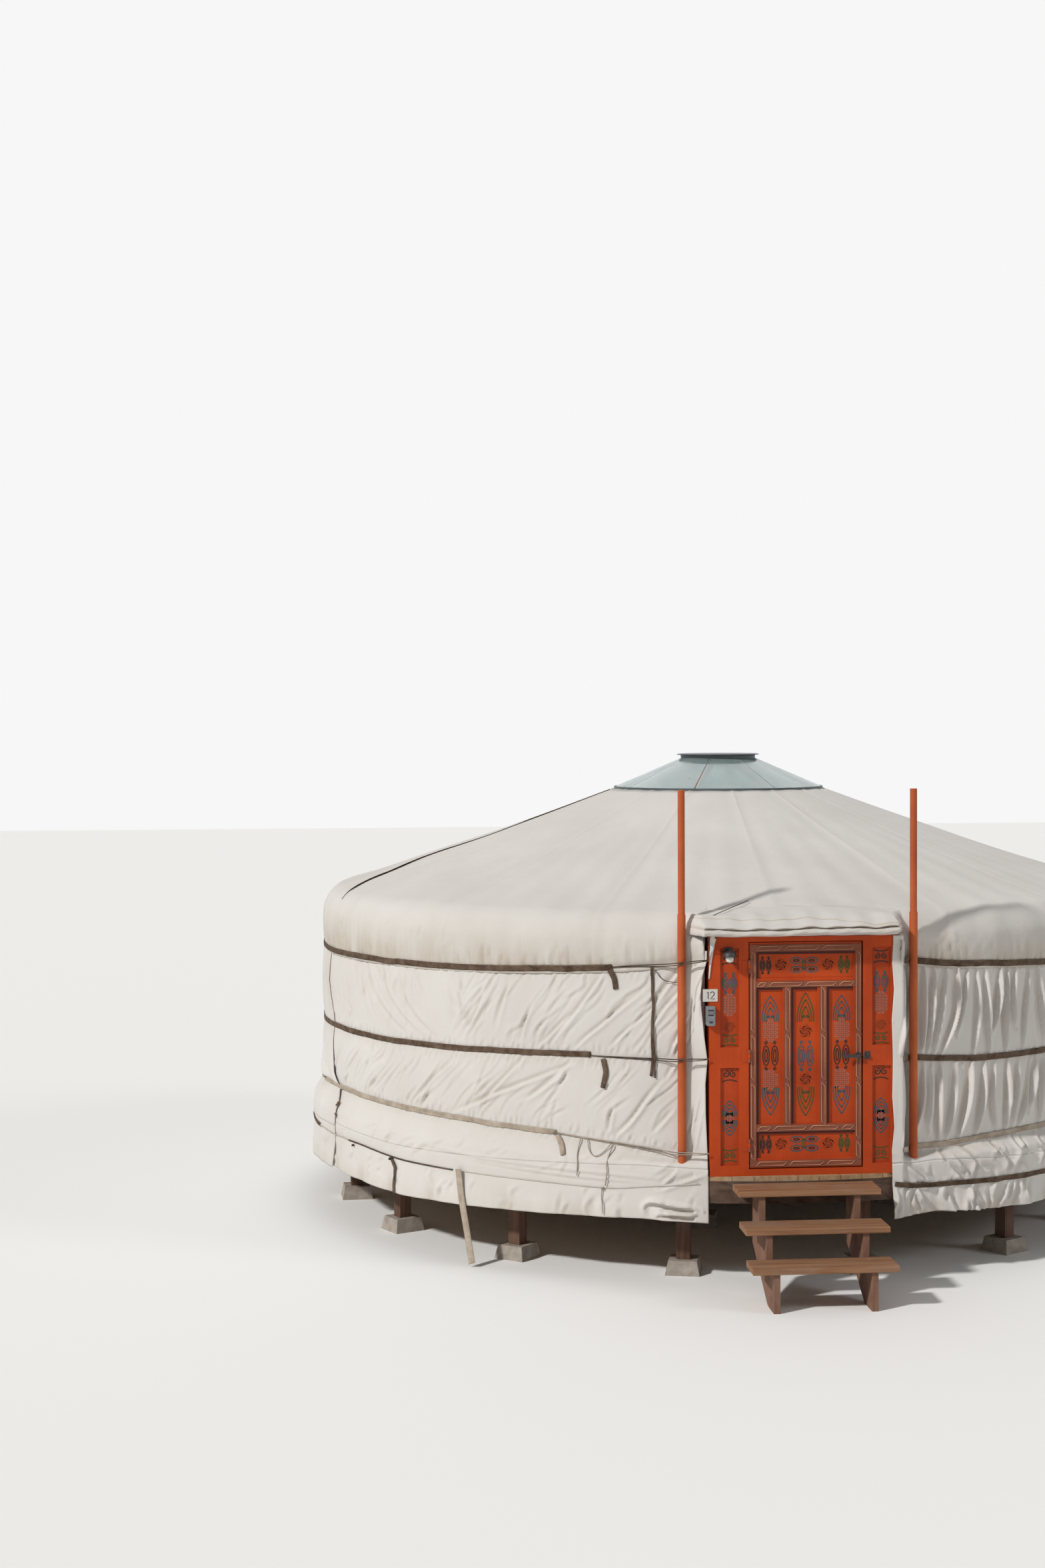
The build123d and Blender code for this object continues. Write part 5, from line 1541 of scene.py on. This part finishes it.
def laid_strap(name, places, width, finish):
    """Tape along points in the air or on the roof, turned to face outwards."""
    line = np.array(places, float)
    place = np.concatenate([[0], np.cumsum(np.linalg.norm(np.diff(line, axis=0), axis=1))])
    fine = np.linspace(0, place[-1], max(int(place[-1] / 0.02), 6))
    centre = np.stack([softened(np.interp(fine, place, line[:, k]), 2) for k in range(3)], -1)
    ahead = np.gradient(centre, axis=0)
    ahead /= np.linalg.norm(ahead, axis=1)[:, None]
    outward = centre * (1, 1, 0) / np.linalg.norm(centre[:, :2], axis=1)[:, None] + np.array((0, 0, 0.35))
    across = np.cross(outward, ahead)
    across /= np.linalg.norm(across, axis=1)[:, None]
    up = np.cross(ahead, across)
    half = np.interp(fine / place[-1], np.linspace(0, 1, np.size(width)), np.atleast_1d(width)) / 2
    points = centre[:, None] + across[:, None] * (half[:, None] * LANES)[..., None]
    points += up[:, None] * (TAPE_BOW * (1 - LANES ** 2))[None, :, None]
    return tape(name, points, fine, np.max(width), finish, up[len(fine) // 2], STRAP_T)


ROOF_POINTS = np.concatenate([mesh_points(piece) for piece in (roof_front, roof_back)])
ROOF_SWELL = ROOF_POINTS[:, 2] - cover_z(np.hypot(ROOF_POINTS[:, 0], ROOF_POINTS[:, 1]))


def on_roof(bearing, radius, out):
    """A place on the roof's cover, which sags and swells a little off its smooth shape."""
    x, y, _ = at(bearing, radius, 0.0)
    away = np.hypot(ROOF_POINTS[:, 0] - x, ROOF_POINTS[:, 1] - y)
    near = away < max(0.03, away.min() + 0.01)
    return x, y, cover_z(radius) + np.max(ROOF_SWELL[near]) + out


strap_foot = [tuple(at(b, r, z)) for b, r, z in (
    (316.75, 3.186, 0.640), (316.8, 3.182, 0.600), (316.9, 3.180, 0.54), (317.3, 3.186, 0.42),
    (318.4, 3.214, 0.25), (319.3, 3.240, 0.10), (319.9, 3.262, 0.014))]
ground_strap = laid_strap("strap_to_ground", strap_foot, 0.050, beige_webbing)
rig.replaces(ground_strap, "ground_strap")
roof_line = [on_roof(266 + 17 * math.exp(-2.6 * t), 3.03 - 2.19 * t, 0.003) for t in np.linspace(0, 1, 60)]
roof_widths = (0.008, 0.036, 0.042, 0.038, 0.034, 0.032, 0.032, 0.032)
laid_strap("strap_over_roof", roof_line, roof_widths, brown_webbing)
print(len(STRAPS) + 2, "straps laid")

# %% [markdown]
# ## The tie round the foot, and cords that hang free
#
# The tie is dark webbing round the back and the right, and a dark thick rope and thin pale cords at
# the left. Short ends of cord hang from the bands: they are limp, so each drops straight from its
# knot. Their routes are a few points on the cloth, and each is declared with its real length.

# %% Tie the foot and hang the cords
def tie_route(start, end, every, out):
    return on_cloth([(b, height_of(SKIRT_TIE, b)) for b in np.arange(start, end, every)], out)


tie_dark, _ = rope("foot_tie_dark", tie_route(293.0, 317.0, 1.5, 0.004), 0.012, dark_rope)
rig.replaces(tie_dark, "skirt_tie")
rope("foot_tie_left", tie_route(316.4, 349.2, 1.5, 0.003), 0.006, white_cord)
rope("foot_tie_lap", tie_route(280.5, 293.6, 1.3, 0.004), 0.009, white_cord)
webbing("foot_tie_round", track_line(SKIRT_TIE, 11.2, 281.0), 0.032, brown_webbing, 9)
knot("knot_foot_left", 294.7, 0.617, 0.012, 0.013, dark_rope, 0.010, 3)
knot("knot_foot_strap", 304.2, 0.606, 0.012, 0.018, dark_rope, 0.012, 4)
knot("knot_foot_right", 336.4, 0.600, 0.010, 0.010, pale_rope, 0.008, 5)

FREE_CORDS = [
    ("cord_end_lower", 0.008, pale_rope, "bare",
     [(333.1, 0.905), (333.0, 0.86), (333.1, 0.80), (333.25, 0.74), (333.2, 0.673)]),
    ("cord_loop_lower", 0.007, pale_rope, "object",
     [(334.0, 0.900), (334.2, 0.855), (334.8, 0.815), (335.4, 0.800), (336.1, 0.818), (336.6, 0.850),
      (337.0, 0.880)]),
    ("cord_end_long", 0.008, pale_rope, "object",
     [(337.3, 0.876), (337.0, 0.82), (336.8, 0.76), (337.0, 0.70), (336.7, 0.62)]),
    ("cord_end_foot", 0.007, pale_rope, "bare",
     [(336.3, 0.592), (336.2, 0.55), (336.4, 0.50), (336.5, 0.434)]),
    ("cord_by_pole", 0.006, dark_rope, "object",
     [(342.6, 2.030), (343.1, 1.98), (344.0, 1.957), (345.0, 1.952), (345.7, 1.956)]),
]


def length_of(points):
    return float(np.linalg.norm(np.diff(np.array(points), axis=0), axis=1).sum())


for name, thickness, finish, far_end, route in FREE_CORDS:
    piece, points = rope(name, on_cloth(route, thickness * 0.6 + 0.006), thickness, finish)
    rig.cord(piece, exit=points[0], length=round(length_of(points), 3), diameter=thickness, far_end=far_end,
            stiffness="limp", lay="hanging", path=points)
    print(name, "is", round(length_of(points), 3), "m long")

roof_rope = [(-0.722, -2.972, 2.290), (-0.680, -2.992, 2.324), (-0.640, -3.035, 2.350),
             (-0.600, -3.052, 2.371), (-0.540, -3.020, 2.393), (-0.460, -2.945, 2.414),
             (-0.370, -2.855, 2.438), (-0.280, -2.785, 2.461)]
rope("rope_over_roof", roof_rope, 0.006, dark_rope)

# %% [markdown]
# ## Beads round the door's mouldings
#
# Each flat moulding on the leaf carries a raised bead that runs round it as one long closed link.
# The links of the uprights and the rails meet on slants and lock into one another. A bead is a
# half-round sweep, so each link is an outline with slanted ends, swept by a small Geometry Nodes
# tree along the moulding's face.

# %% The bead tree
LEAF_FACE = -3.0990
LEAF_LEFT, LEAF_RIGHT = -0.3335, 0.4035


def bead_tree():
    tree, given, result = new_tree("half round bead", Thickness="Float", Finish="Material")
    path = output_of(tree, "GeometryNodeMeshToCurve", {"Mesh": given.outputs["Geometry"]})
    half = times(tree, given.outputs["Thickness"], 0.5)
    profile = output_of(tree, "GeometryNodeCurvePrimitiveCircle", {"Resolution": 6, "Radius": half})
    return end_tree(tree, given, result, swept_along(tree, path, profile))


BEAD = bead_tree()


def outline_mesh(name, outlines):
    """Closed outlines as edges of one mesh, ready for a sweep."""
    source = bpy.data.meshes.new(name)
    points, edges = [], []
    for outline in outlines:
        first = len(points)
        points += outline
        edges += [(k, k + 1) for k in range(first, len(points) - 1)]
        edges.append((len(points) - 1, first))
    source.from_pydata(points, edges, [])
    return source


LINK_HALF, LINK_SLANT, LINK_GAP = 0.0120, 0.026, 0.007


def link(x0, z0, x1, z1):
    """A long link on a straight moulding, its two ends slanted the same way."""
    start, end = np.array((x0, z0)), np.array((x1, z1))
    run = (end - start) / np.hypot(*(end - start))
    side = np.array((-run[1], run[0])) * LINK_HALF
    start, end, slant = start + run * LINK_GAP, end - run * LINK_GAP, run * LINK_SLANT
    corners = [start - side, end - side - slant, end + side, start + side + slant]
    return [(float(x), LEAF_FACE, float(z)) for x, z in corners]


STILES = [LEAF_LEFT + 0.023, LEAF_LEFT + 0.250, LEAF_LEFT + 0.483, LEAF_RIGHT - 0.023]
RAILS = [2.177, 1.942, 1.007, 0.7765]
RAIL_BREAKS = [(0.012, (-0.114, 0.132)), (0.018, (-0.213, 0.023, 0.247)),
               (0.018, (-0.185, 0.050, 0.263)), (0.012, (-0.081, 0.165))]
BREAK_HIGH, BREAK_LOW, BREAK_FOOT = 1.621, 1.307, 0.919


def leaf_links():
    """The links of the leaf: uprights at the sides and between the panels, and rails across."""
    outer = [RAILS[0] - 0.012, BREAK_HIGH, BREAK_LOW, BREAK_FOOT, RAILS[3] + 0.012]
    inner = [RAILS[1] - 0.012, BREAK_HIGH, BREAK_LOW, RAILS[2] + 0.012]
    links = []
    for x, breaks in zip(STILES, (outer, inner, inner, outer)):
        links += [link(x, high, x, low) for high, low in zip(breaks, breaks[1:])]
    for z, (inset, breaks) in zip(RAILS, RAIL_BREAKS):
        places = [STILES[0] + inset, *breaks, STILES[3] - inset]
        links += [link(a, z, b, z) for a, b in zip(places, places[1:])]
    return links


def flattened(piece, height):
    """A sweep pressed nearly flat on the moulding: a dark band of painted shade and dirt beside a bead."""
    points = mesh_points(piece)
    points[:, 1] = LEAF_FACE + (points[:, 1] - LEAF_FACE) * height
    piece.data.vertices.foreach_set("co", points.ravel())
    piece.data.update()


links = leaf_links()
grown("leaf_beads", BEAD, outline_mesh("leaf_beads", links), {"Thickness": 0.0078}, bead_paint, "door")
# A dark band of painted shade and dirt, a little wider than each bead, lies flat under it.
bead_shade = grown("leaf_bead_shade", BEAD, outline_mesh("leaf_bead_shade", links), {"Thickness": 0.0135},
                groove_paint, "door")
flattened(bead_shade, 0.10)
print(len(links), "links on the leaf")

# %% [markdown]
# ## The painted scrolls
#
# The panels and the side boards are painted with arches, ovals, scrolls and fine lattice, in grey
# blue, dull pink, brown, rust and olive. It is traditional ornament, so it is drawn here from rules:
# spirals, rings, bows and crossing lines as thin ribbons of paint just proud of the board. Each
# colour of each body is one mesh. Painted shadows of the mouldings, dark strips in the bevels left of
# and above each panel, come last.

# %% Ornament from rules
def spiral(x, z, size, start, turns=1.4, way=1):
    """A stroke that winds in to its middle."""
    t = np.linspace(0, 1, 22)
    angle = start + way * turns * 2 * np.pi * t
    r = size * (1 - 0.86 * t)
    return list(zip(x + r * np.cos(angle), z + r * np.sin(angle)))


def bow(x0, z0, x1, z1, bulge):
    """A stroke from point to point that swells to one side."""
    t = np.linspace(0, 1, 12)
    side = 4 * t * (1 - t) * bulge
    length = math.hypot(x1 - x0, z1 - z0)
    dx, dz = (x1 - x0) / length, (z1 - z0) / length
    return list(zip(x0 + (x1 - x0) * t - dz * side, z0 + (z1 - z0) * t + dx * side))


def ring(x, z, across, up):
    """A closed oval stroke."""
    turn = np.linspace(0, 2 * np.pi, 20)
    return list(zip(x + across * np.cos(turn), z + up * np.sin(turn)))


def ogive(x, base, tip, wide):
    """A pointed arch of nested bows, with two scrolls inside at its foot."""
    up = 1 if tip > base else -1
    strokes = []
    for share in (1.0, 0.74, 0.48):
        top, half = base + (tip - base) * (0.1 + 0.9 * share), share * wide / 2
        strokes += [bow(x + s * half, base, x, top, -s * up * 0.34 * half) for s in (-1, 1)]
    strokes += [spiral(x + s * wide * 0.13, base + (tip - base) * 0.18, wide * 0.10, 1.57 * up, 1.2, s * up)
                for s in (-1, 1)]
    return strokes


def twin_ovals(x, low, high, wide):
    """Two tall ovals side by side, with a small scroll at each end of both."""
    mid, tall = (low + high) / 2, high - low
    strokes = []
    for s in (-1, 1):
        strokes += [ring(x + s * wide * 0.27, mid, wide * 0.20, tall * 0.32),
                    ring(x + s * wide * 0.27, mid, wide * 0.08, tall * 0.20)]
        strokes += [spiral(x + s * wide * 0.24, mid + up * tall * 0.43, wide * 0.11, -1.57 * up, 1.1, s * up)
                    for up in (-1, 1)]
    return strokes


def lattice(x, low, high, wide, across=3):
    """Crossing slanted lines that taper at both ends."""
    strokes = []
    rows = max(round((high - low) / wide * across), 2)
    cell_x, cell_z = wide / across, (high - low) / rows
    for k in range(across):
        for n in range(rows):
            cx, cz = x - wide / 2 + (k + 0.5) * cell_x, low + (n + 0.5) * cell_z
            edge = abs(cz - (low + high) / 2) / (high - low) * 2
            if abs(cx - x) > wide / 2 * (1.15 - 0.5 * edge):
                continue
            strokes.append([(cx - cell_x * 0.45, cz), (cx, cz + cell_z * 0.45), (cx + cell_x * 0.45, cz),
                            (cx, cz - cell_z * 0.45), (cx - cell_x * 0.45, cz)])
    return strokes


def corner_scroll(x, z, wide, tall):
    """A small motif of two scrolls that face each other."""
    strokes = [spiral(x + s * wide * 0.24, z, min(wide, tall) * 0.24, 1.57, 1.3, s) for s in (-1, 1)]
    for s in (-1, 1):
        strokes.append(bow(x - wide / 2, z + s * tall / 2, x + wide / 2, z + s * tall / 2, -s * tall * 0.12))
    return strokes


def painted(name, strokes, width, face, finish, body="yurt"):
    """Strokes as flat ribbons on a board that faces the steps."""
    points, faces = [], []
    for stroke in strokes:
        line = np.array(stroke, float)
        ahead = np.gradient(line, axis=0)
        ahead /= np.maximum(np.hypot(*ahead.T), 1e-9)[:, None]
        side = np.stack([-ahead[:, 1], ahead[:, 0]], -1) * width / 2
        first = len(points)
        for (x, z), (sx, sz) in zip(line, side):
            points += [(x - sx, face, z - sz), (x + sx, face, z + sz)]
        faces += [(first + 2 * k, first + 2 * k + 2, first + 2 * k + 3, first + 2 * k + 1)
                  for k in range(len(line) - 1)]
    return mesh_piece(name, points, faces, finish, body, smooth=False)


PANEL_FACE, BOARD_FACE, STROKE = -3.0834, -3.0844, 0.0086
PANEL_X = [LEAF_LEFT + 0.139, LEAF_LEFT + 0.370, LEAF_LEFT + 0.607]
BOARD_X = [-0.463, 0.533]
WIDE, MOTIF_X = 0.106, 0.027
leaf, boards = ({colour: [] for colour in COLOURS} for _ in range(2))
for x in (PANEL_X[0], PANEL_X[2]):
    leaf["blue"] += ogive(x, 1.700, 1.862, WIDE) + ogive(x, 1.270, 1.092, WIDE)
    leaf["pink"] += lattice(x, 1.566, 1.712, 0.100, 4) + lattice(x, 1.258, 1.384, 0.100, 4)
    leaf["brown"] += twin_ovals(x, 1.378, 1.576, WIDE)
x = PANEL_X[1]
leaf["olive"] += ogive(x, 1.694, 1.881, WIDE) + ogive(x, 1.270, 1.082, WIDE)
leaf["blue"] += twin_ovals(x, 1.368, 1.576, WIDE)
leaf["rust"] += [spiral(x, 1.630, 0.046, 0, 4.5), spiral(x, 1.319, 0.044, 0, 4.5)]
for z in (2.064, 0.900):
    for s in (-1, 1):
        for up in (-1, 1):
            eye = (MOTIF_X + s * 0.050, z + up * 0.029)
            leaf["blue"].append(ring(*eye, 0.040, 0.019))
            leaf["brown"].append(ring(*eye, 0.018, 0.006))
        leaf["rust"].append(spiral(MOTIF_X + 0.002 + s * 0.155, z, 0.044, 0, 4.5))
    leaf["olive"].append(ring(MOTIF_X, z, 0.008, 0.030))
    for x, colour in ((-0.226, "brown"), (0.290, "olive")):
        leaf[colour] += twin_ovals(x, z - 0.058, z + 0.058, 0.075)
for x in BOARD_X:
    boards["blue"] += twin_ovals(x, 1.88, 2.02, 0.098) + ogive(x, 1.085, 1.189, 0.09)
    boards["blue"] += ogive(x, 1.065, 0.962, 0.09)
    boards["pink"] += lattice(x, 1.74, 1.885, 0.086, 4) + lattice(x, 1.04, 1.11, 0.06, 3)
    boards["olive"] += corner_scroll(x, 1.582, 0.098, 0.075) + corner_scroll(x, 0.832, 0.10, 0.085)
    boards["brown"] += corner_scroll(x, 2.115, 0.098, 0.085) + corner_scroll(x, 1.362, 0.098, 0.10)
    boards["rust"].append(spiral(x, 1.665, 0.038, 0, 3.6))
for place, drawn, face, body in (("leaf", leaf, PANEL_FACE, "door"), ("boards", boards, BOARD_FACE, "yurt")):
    for colour, strokes in drawn.items():
        paint = hard["scroll_" + colour]
        painted(f"{place}_{paint.name}", strokes, STROKE, face, paint, body)
# Painted shadows of the mouldings: dark strips in the bevels left of and above each panel.
LEAF_SKIN, TALL_LEFTS, TALL_TOP, TALL_FOOT = -3.0924, (-0.2805, -0.0510, 0.1840), 1.904, 1.034
WIDE_LEFT, WIDE_RIGHT = TALL_LEFTS[0] - 0.009, 0.3595
moulding_shadows = [[(x, TALL_FOOT), (x, TALL_TOP)] for x in TALL_LEFTS]
moulding_shadows += [[(x - 0.009, 1.913), (x + 0.163, 1.913)] for x in TALL_LEFTS]
for foot, top in ((1.980, 2.136), (0.814, 0.971)):
    moulding_shadows.append([(TALL_LEFTS[0], foot), (TALL_LEFTS[0], top)])
for z in (2.145, 0.978):
    moulding_shadows.append([(WIDE_LEFT, z), (WIDE_RIGHT, z)])
painted("leaf_moulding_shadows", moulding_shadows, 0.017, LEAF_SKIN, groove_paint, "door")
print(sum(len(strokes) for strokes in leaf.values()), "strokes on the leaf")

# %% [markdown]
# ## The number plate and the key box
#
# The plate carries a plain number. The small box under it for a key has a raised rim, a dark window
# with four number wheels, and a button below. These are small raised plates with rounded corners.

# %% Number and key box
def raised_plate(name, low, high, back, front, corner, finish):
    """A thin plate with rounded corners that faces the steps, a little smaller at its front."""
    (x0, z0), (x1, z1) = low, high
    outline = []
    for cx, cz, start in ((x1 - corner, z1 - corner, 0), (x0 + corner, z1 - corner, 1),
                          (x0 + corner, z0 + corner, 2), (x1 - corner, z0 + corner, 3)):
        outline += [(cx, cz, a + start * np.pi / 2) for a in np.linspace(0, np.pi / 2, 5)]
    points = []
    for y, inset in ((back, 0.0), (front + 0.0008, 0.0), (front, 0.0008)):
        r = corner - inset
        points += [(cx + r * math.cos(a), y, cz + r * math.sin(a)) for cx, cz, a in outline]
    n = len(outline)
    faces = [(row + k, row + (k + 1) % n, row + n + (k + 1) % n, row + n + k) for row in (0, n)
             for k in range(n)]
    faces += [tuple(reversed(range(n))), tuple(range(2 * n, 3 * n))]
    return mesh_piece(name, points, faces, finish, smooth=False)


def middle(corners):
    """The middle of a box across, its height span and how far forward it comes."""
    low, high = corners
    return (low[0] + high[0]) / 2, low[2], high[2], low[1]


plate_x, plate_low, plate_high, plate_front = middle(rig.box("number_plate"))
plate_mid = (plate_low + plate_high) / 2
tall, bowl = 0.023, 0.0125
one = [(plate_x - 0.022, plate_mid + tall * 0.6), (plate_x - 0.013, plate_mid + tall),
       (plate_x - 0.013, plate_mid), (plate_x - 0.013, plate_mid - tall)]
turn = np.linspace(2.9, -0.75, 14)
two = list(zip(plate_x + 0.014 + bowl * np.cos(turn), plate_mid + 0.0105 + bowl * np.sin(turn)))
two += [(plate_x + 0.001, plate_mid - tall), (plate_x + 0.028, plate_mid - tall)]
painted("plate_number", [one, two], 0.006, plate_front - 0.0003, black_iron)

key_x, key_low, key_high, key_front = middle(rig.box("key_box"))
key_parts = [("rim", 0, 0.025, key_low + 0.006, key_high - 0.006, -0.0002, 0.003, 0.008, box_metal),
             ("window", 0, 0.019, key_high - 0.062, key_high - 0.020, 0.0028, 0.004, 0.004, black_iron)]
key_parts += [(f"wheel_{k + 1}", (k - 1.5) * 0.0085, 0.0032, key_high - 0.052, key_high - 0.030,
               0.0038, 0.0056, 0.0025, box_metal) for k in range(4)]
key_parts += [("button", 0, 0.012, key_low + 0.018, key_low + 0.030, 0.0028, 0.006, 0.005, black_iron)]
for part, x, half, low, high, back, front, corner, finish in key_parts:
    raised_plate("key_box_" + part, (key_x + x - half, low), (key_x + x + half, high),
                 key_front - back, key_front - front, corner, finish)
print(len(key_parts), "parts on the key box")

# %% [markdown]
# ## Small heads, with Geometry Nodes
#
# The slats of the lattice are tied with leather at every crossing, and screws hold the treads. Both
# are one small round head, set on many points. A Geometry Nodes tree sets an instance of it on each
# point and turns it to face outwards from the wall, or up on the treads.

# %% The head tree
def heads_tree():
    tree, given, result = new_tree("small heads", Size="Float", Flatness="Float", Facing="Vector",
                                   Finish="Material")
    size = given.outputs["Size"]
    ball = output_of(tree, "GeometryNodeMeshUVSphere", {"Segments": 8, "Rings": 5, "Radius": 0.5})
    high = times(tree, size, given.outputs["Flatness"])
    shape = output_of(tree, "ShaderNodeCombineXYZ", {0: size, 1: size, 2: high})
    squashed = output_of(tree, "GeometryNodeTransform", {"Geometry": ball, "Scale": shape})
    place = output_of(tree, "GeometryNodeInputPosition")
    flat = output_of(tree, "ShaderNodeVectorMath", {0: place, 1: (1, 1, 0)}, operation="MULTIPLY")
    radial = output_of(tree, "ShaderNodeVectorMath", {0: flat}, operation="NORMALIZE")
    way = output_of(tree, "ShaderNodeVectorMath", {0: radial, 1: given.outputs["Facing"]}, operation="ADD")
    turn = output_of(tree, "FunctionNodeAlignRotationToVector", {"Vector": way}, axis="Z")
    many = output_of(tree, "GeometryNodeInstanceOnPoints", {
        "Points": given.outputs["Geometry"], "Instance": squashed, "Rotation": turn})
    return end_tree(tree, given, result, many)


HEADS = heads_tree()


def heads(name, places, size, flatness, facing, finish):
    source = bpy.data.meshes.new(name)
    source.from_pydata(places, [], [])
    return grown(name, HEADS, source, {"Size": size, "Flatness": flatness, "Facing": facing}, finish)


LATTICE_R, LATTICE_FACETS, LATTICE_FROM, LATTICE_TO = 3.012, 20, 13.2, 348.1
SLAT_T, LATTICE_FOOT, LATTICE_TOP = 0.012, 0.700, 2.261


def lattice_crossings():
    """Where the two layers of slats cross, on the inner face of every flat bay."""
    bay = (LATTICE_TO - LATTICE_FROM) / LATTICE_FACETS
    half = math.radians(bay / 2)
    distance, half_width = LATTICE_R * math.cos(half), LATTICE_R * math.sin(half)
    pitch = 2 * half_width / 3
    places = []
    for facet in range(LATTICE_FACETS):
        a = math.radians(LATTICE_FROM + (facet + 0.5) * bay)
        for row in range(1, 6):
            z = LATTICE_FOOT + (LATTICE_TOP - LATTICE_FOOT) * row / 6
            for k in (-1.5, -1, -0.5, 0, 0.5, 1, 1.5):
                x = k * pitch
                if abs(x) > half_width - 0.03 or (row + round(k * 2)) % 2 == 0:
                    continue
                y = distance - SLAT_T - 0.001
                places.append((x * math.cos(a) + y * math.sin(a), x * math.sin(a) - y * math.cos(a), z))
    return places


crossings = lattice_crossings()
heads("lattice_ties", crossings, 0.018, 0.6, (0, 0, 0), dark_rope)
screws = []
stringer_low, stringer_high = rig.box("step_stringers")
for number in ("top", "middle", "bottom"):
    low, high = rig.box(f"step_tread_{number}")
    for x in (stringer_low[0] + 0.019, stringer_high[0] - 0.019):
        screws += [(x, low[1] + share * (high[1] - low[1]), high[2] + 0.0004) for share in (0.25, 0.75)]
heads("tread_screws", screws, 0.009, 0.3, (0, 0, 60), box_metal)
print(len(crossings), "ties on the lattice,", len(screws), "screws on the treads")

# %% [markdown]
# ## The trim beside the door
#
# A dark cord edges the roof's hem where it ends at the left of the door. Under the flap's left end a
# narrow strip of canvas hangs over the frame's edge.

# %% Trim at the flap's left end
trim_route = [(-0.647, -3.238, 2.304), (-0.634, -3.222, 2.285), (-0.616, -3.190, 2.250),
              (-0.598, -3.128, 2.195), (-0.603, -3.113, 2.140), (-0.608, -3.112, 2.096)]
rope("hem_trim_left", trim_route, 0.009, dark_rope)
strip_route = [(-0.575, -3.190, 2.268), (-0.576, -3.125, 2.255), (-0.580, -3.108, 2.20),
               (-0.586, -3.105, 2.12), (-0.593, -3.105, 2.05), (-0.600, -3.105, 1.97)]
laid_strap("flap_strip", strip_route, (0.046, 0.040, 0.030, 0.016, 0.011, 0.008), canvas)
print("trim beside the door made")

# %% Save the sizes
with open("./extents.json", "w") as out:
    json.dump({"cad": [list(v) for v in cad_box], "visual": [list(v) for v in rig.bounds()]}, out)
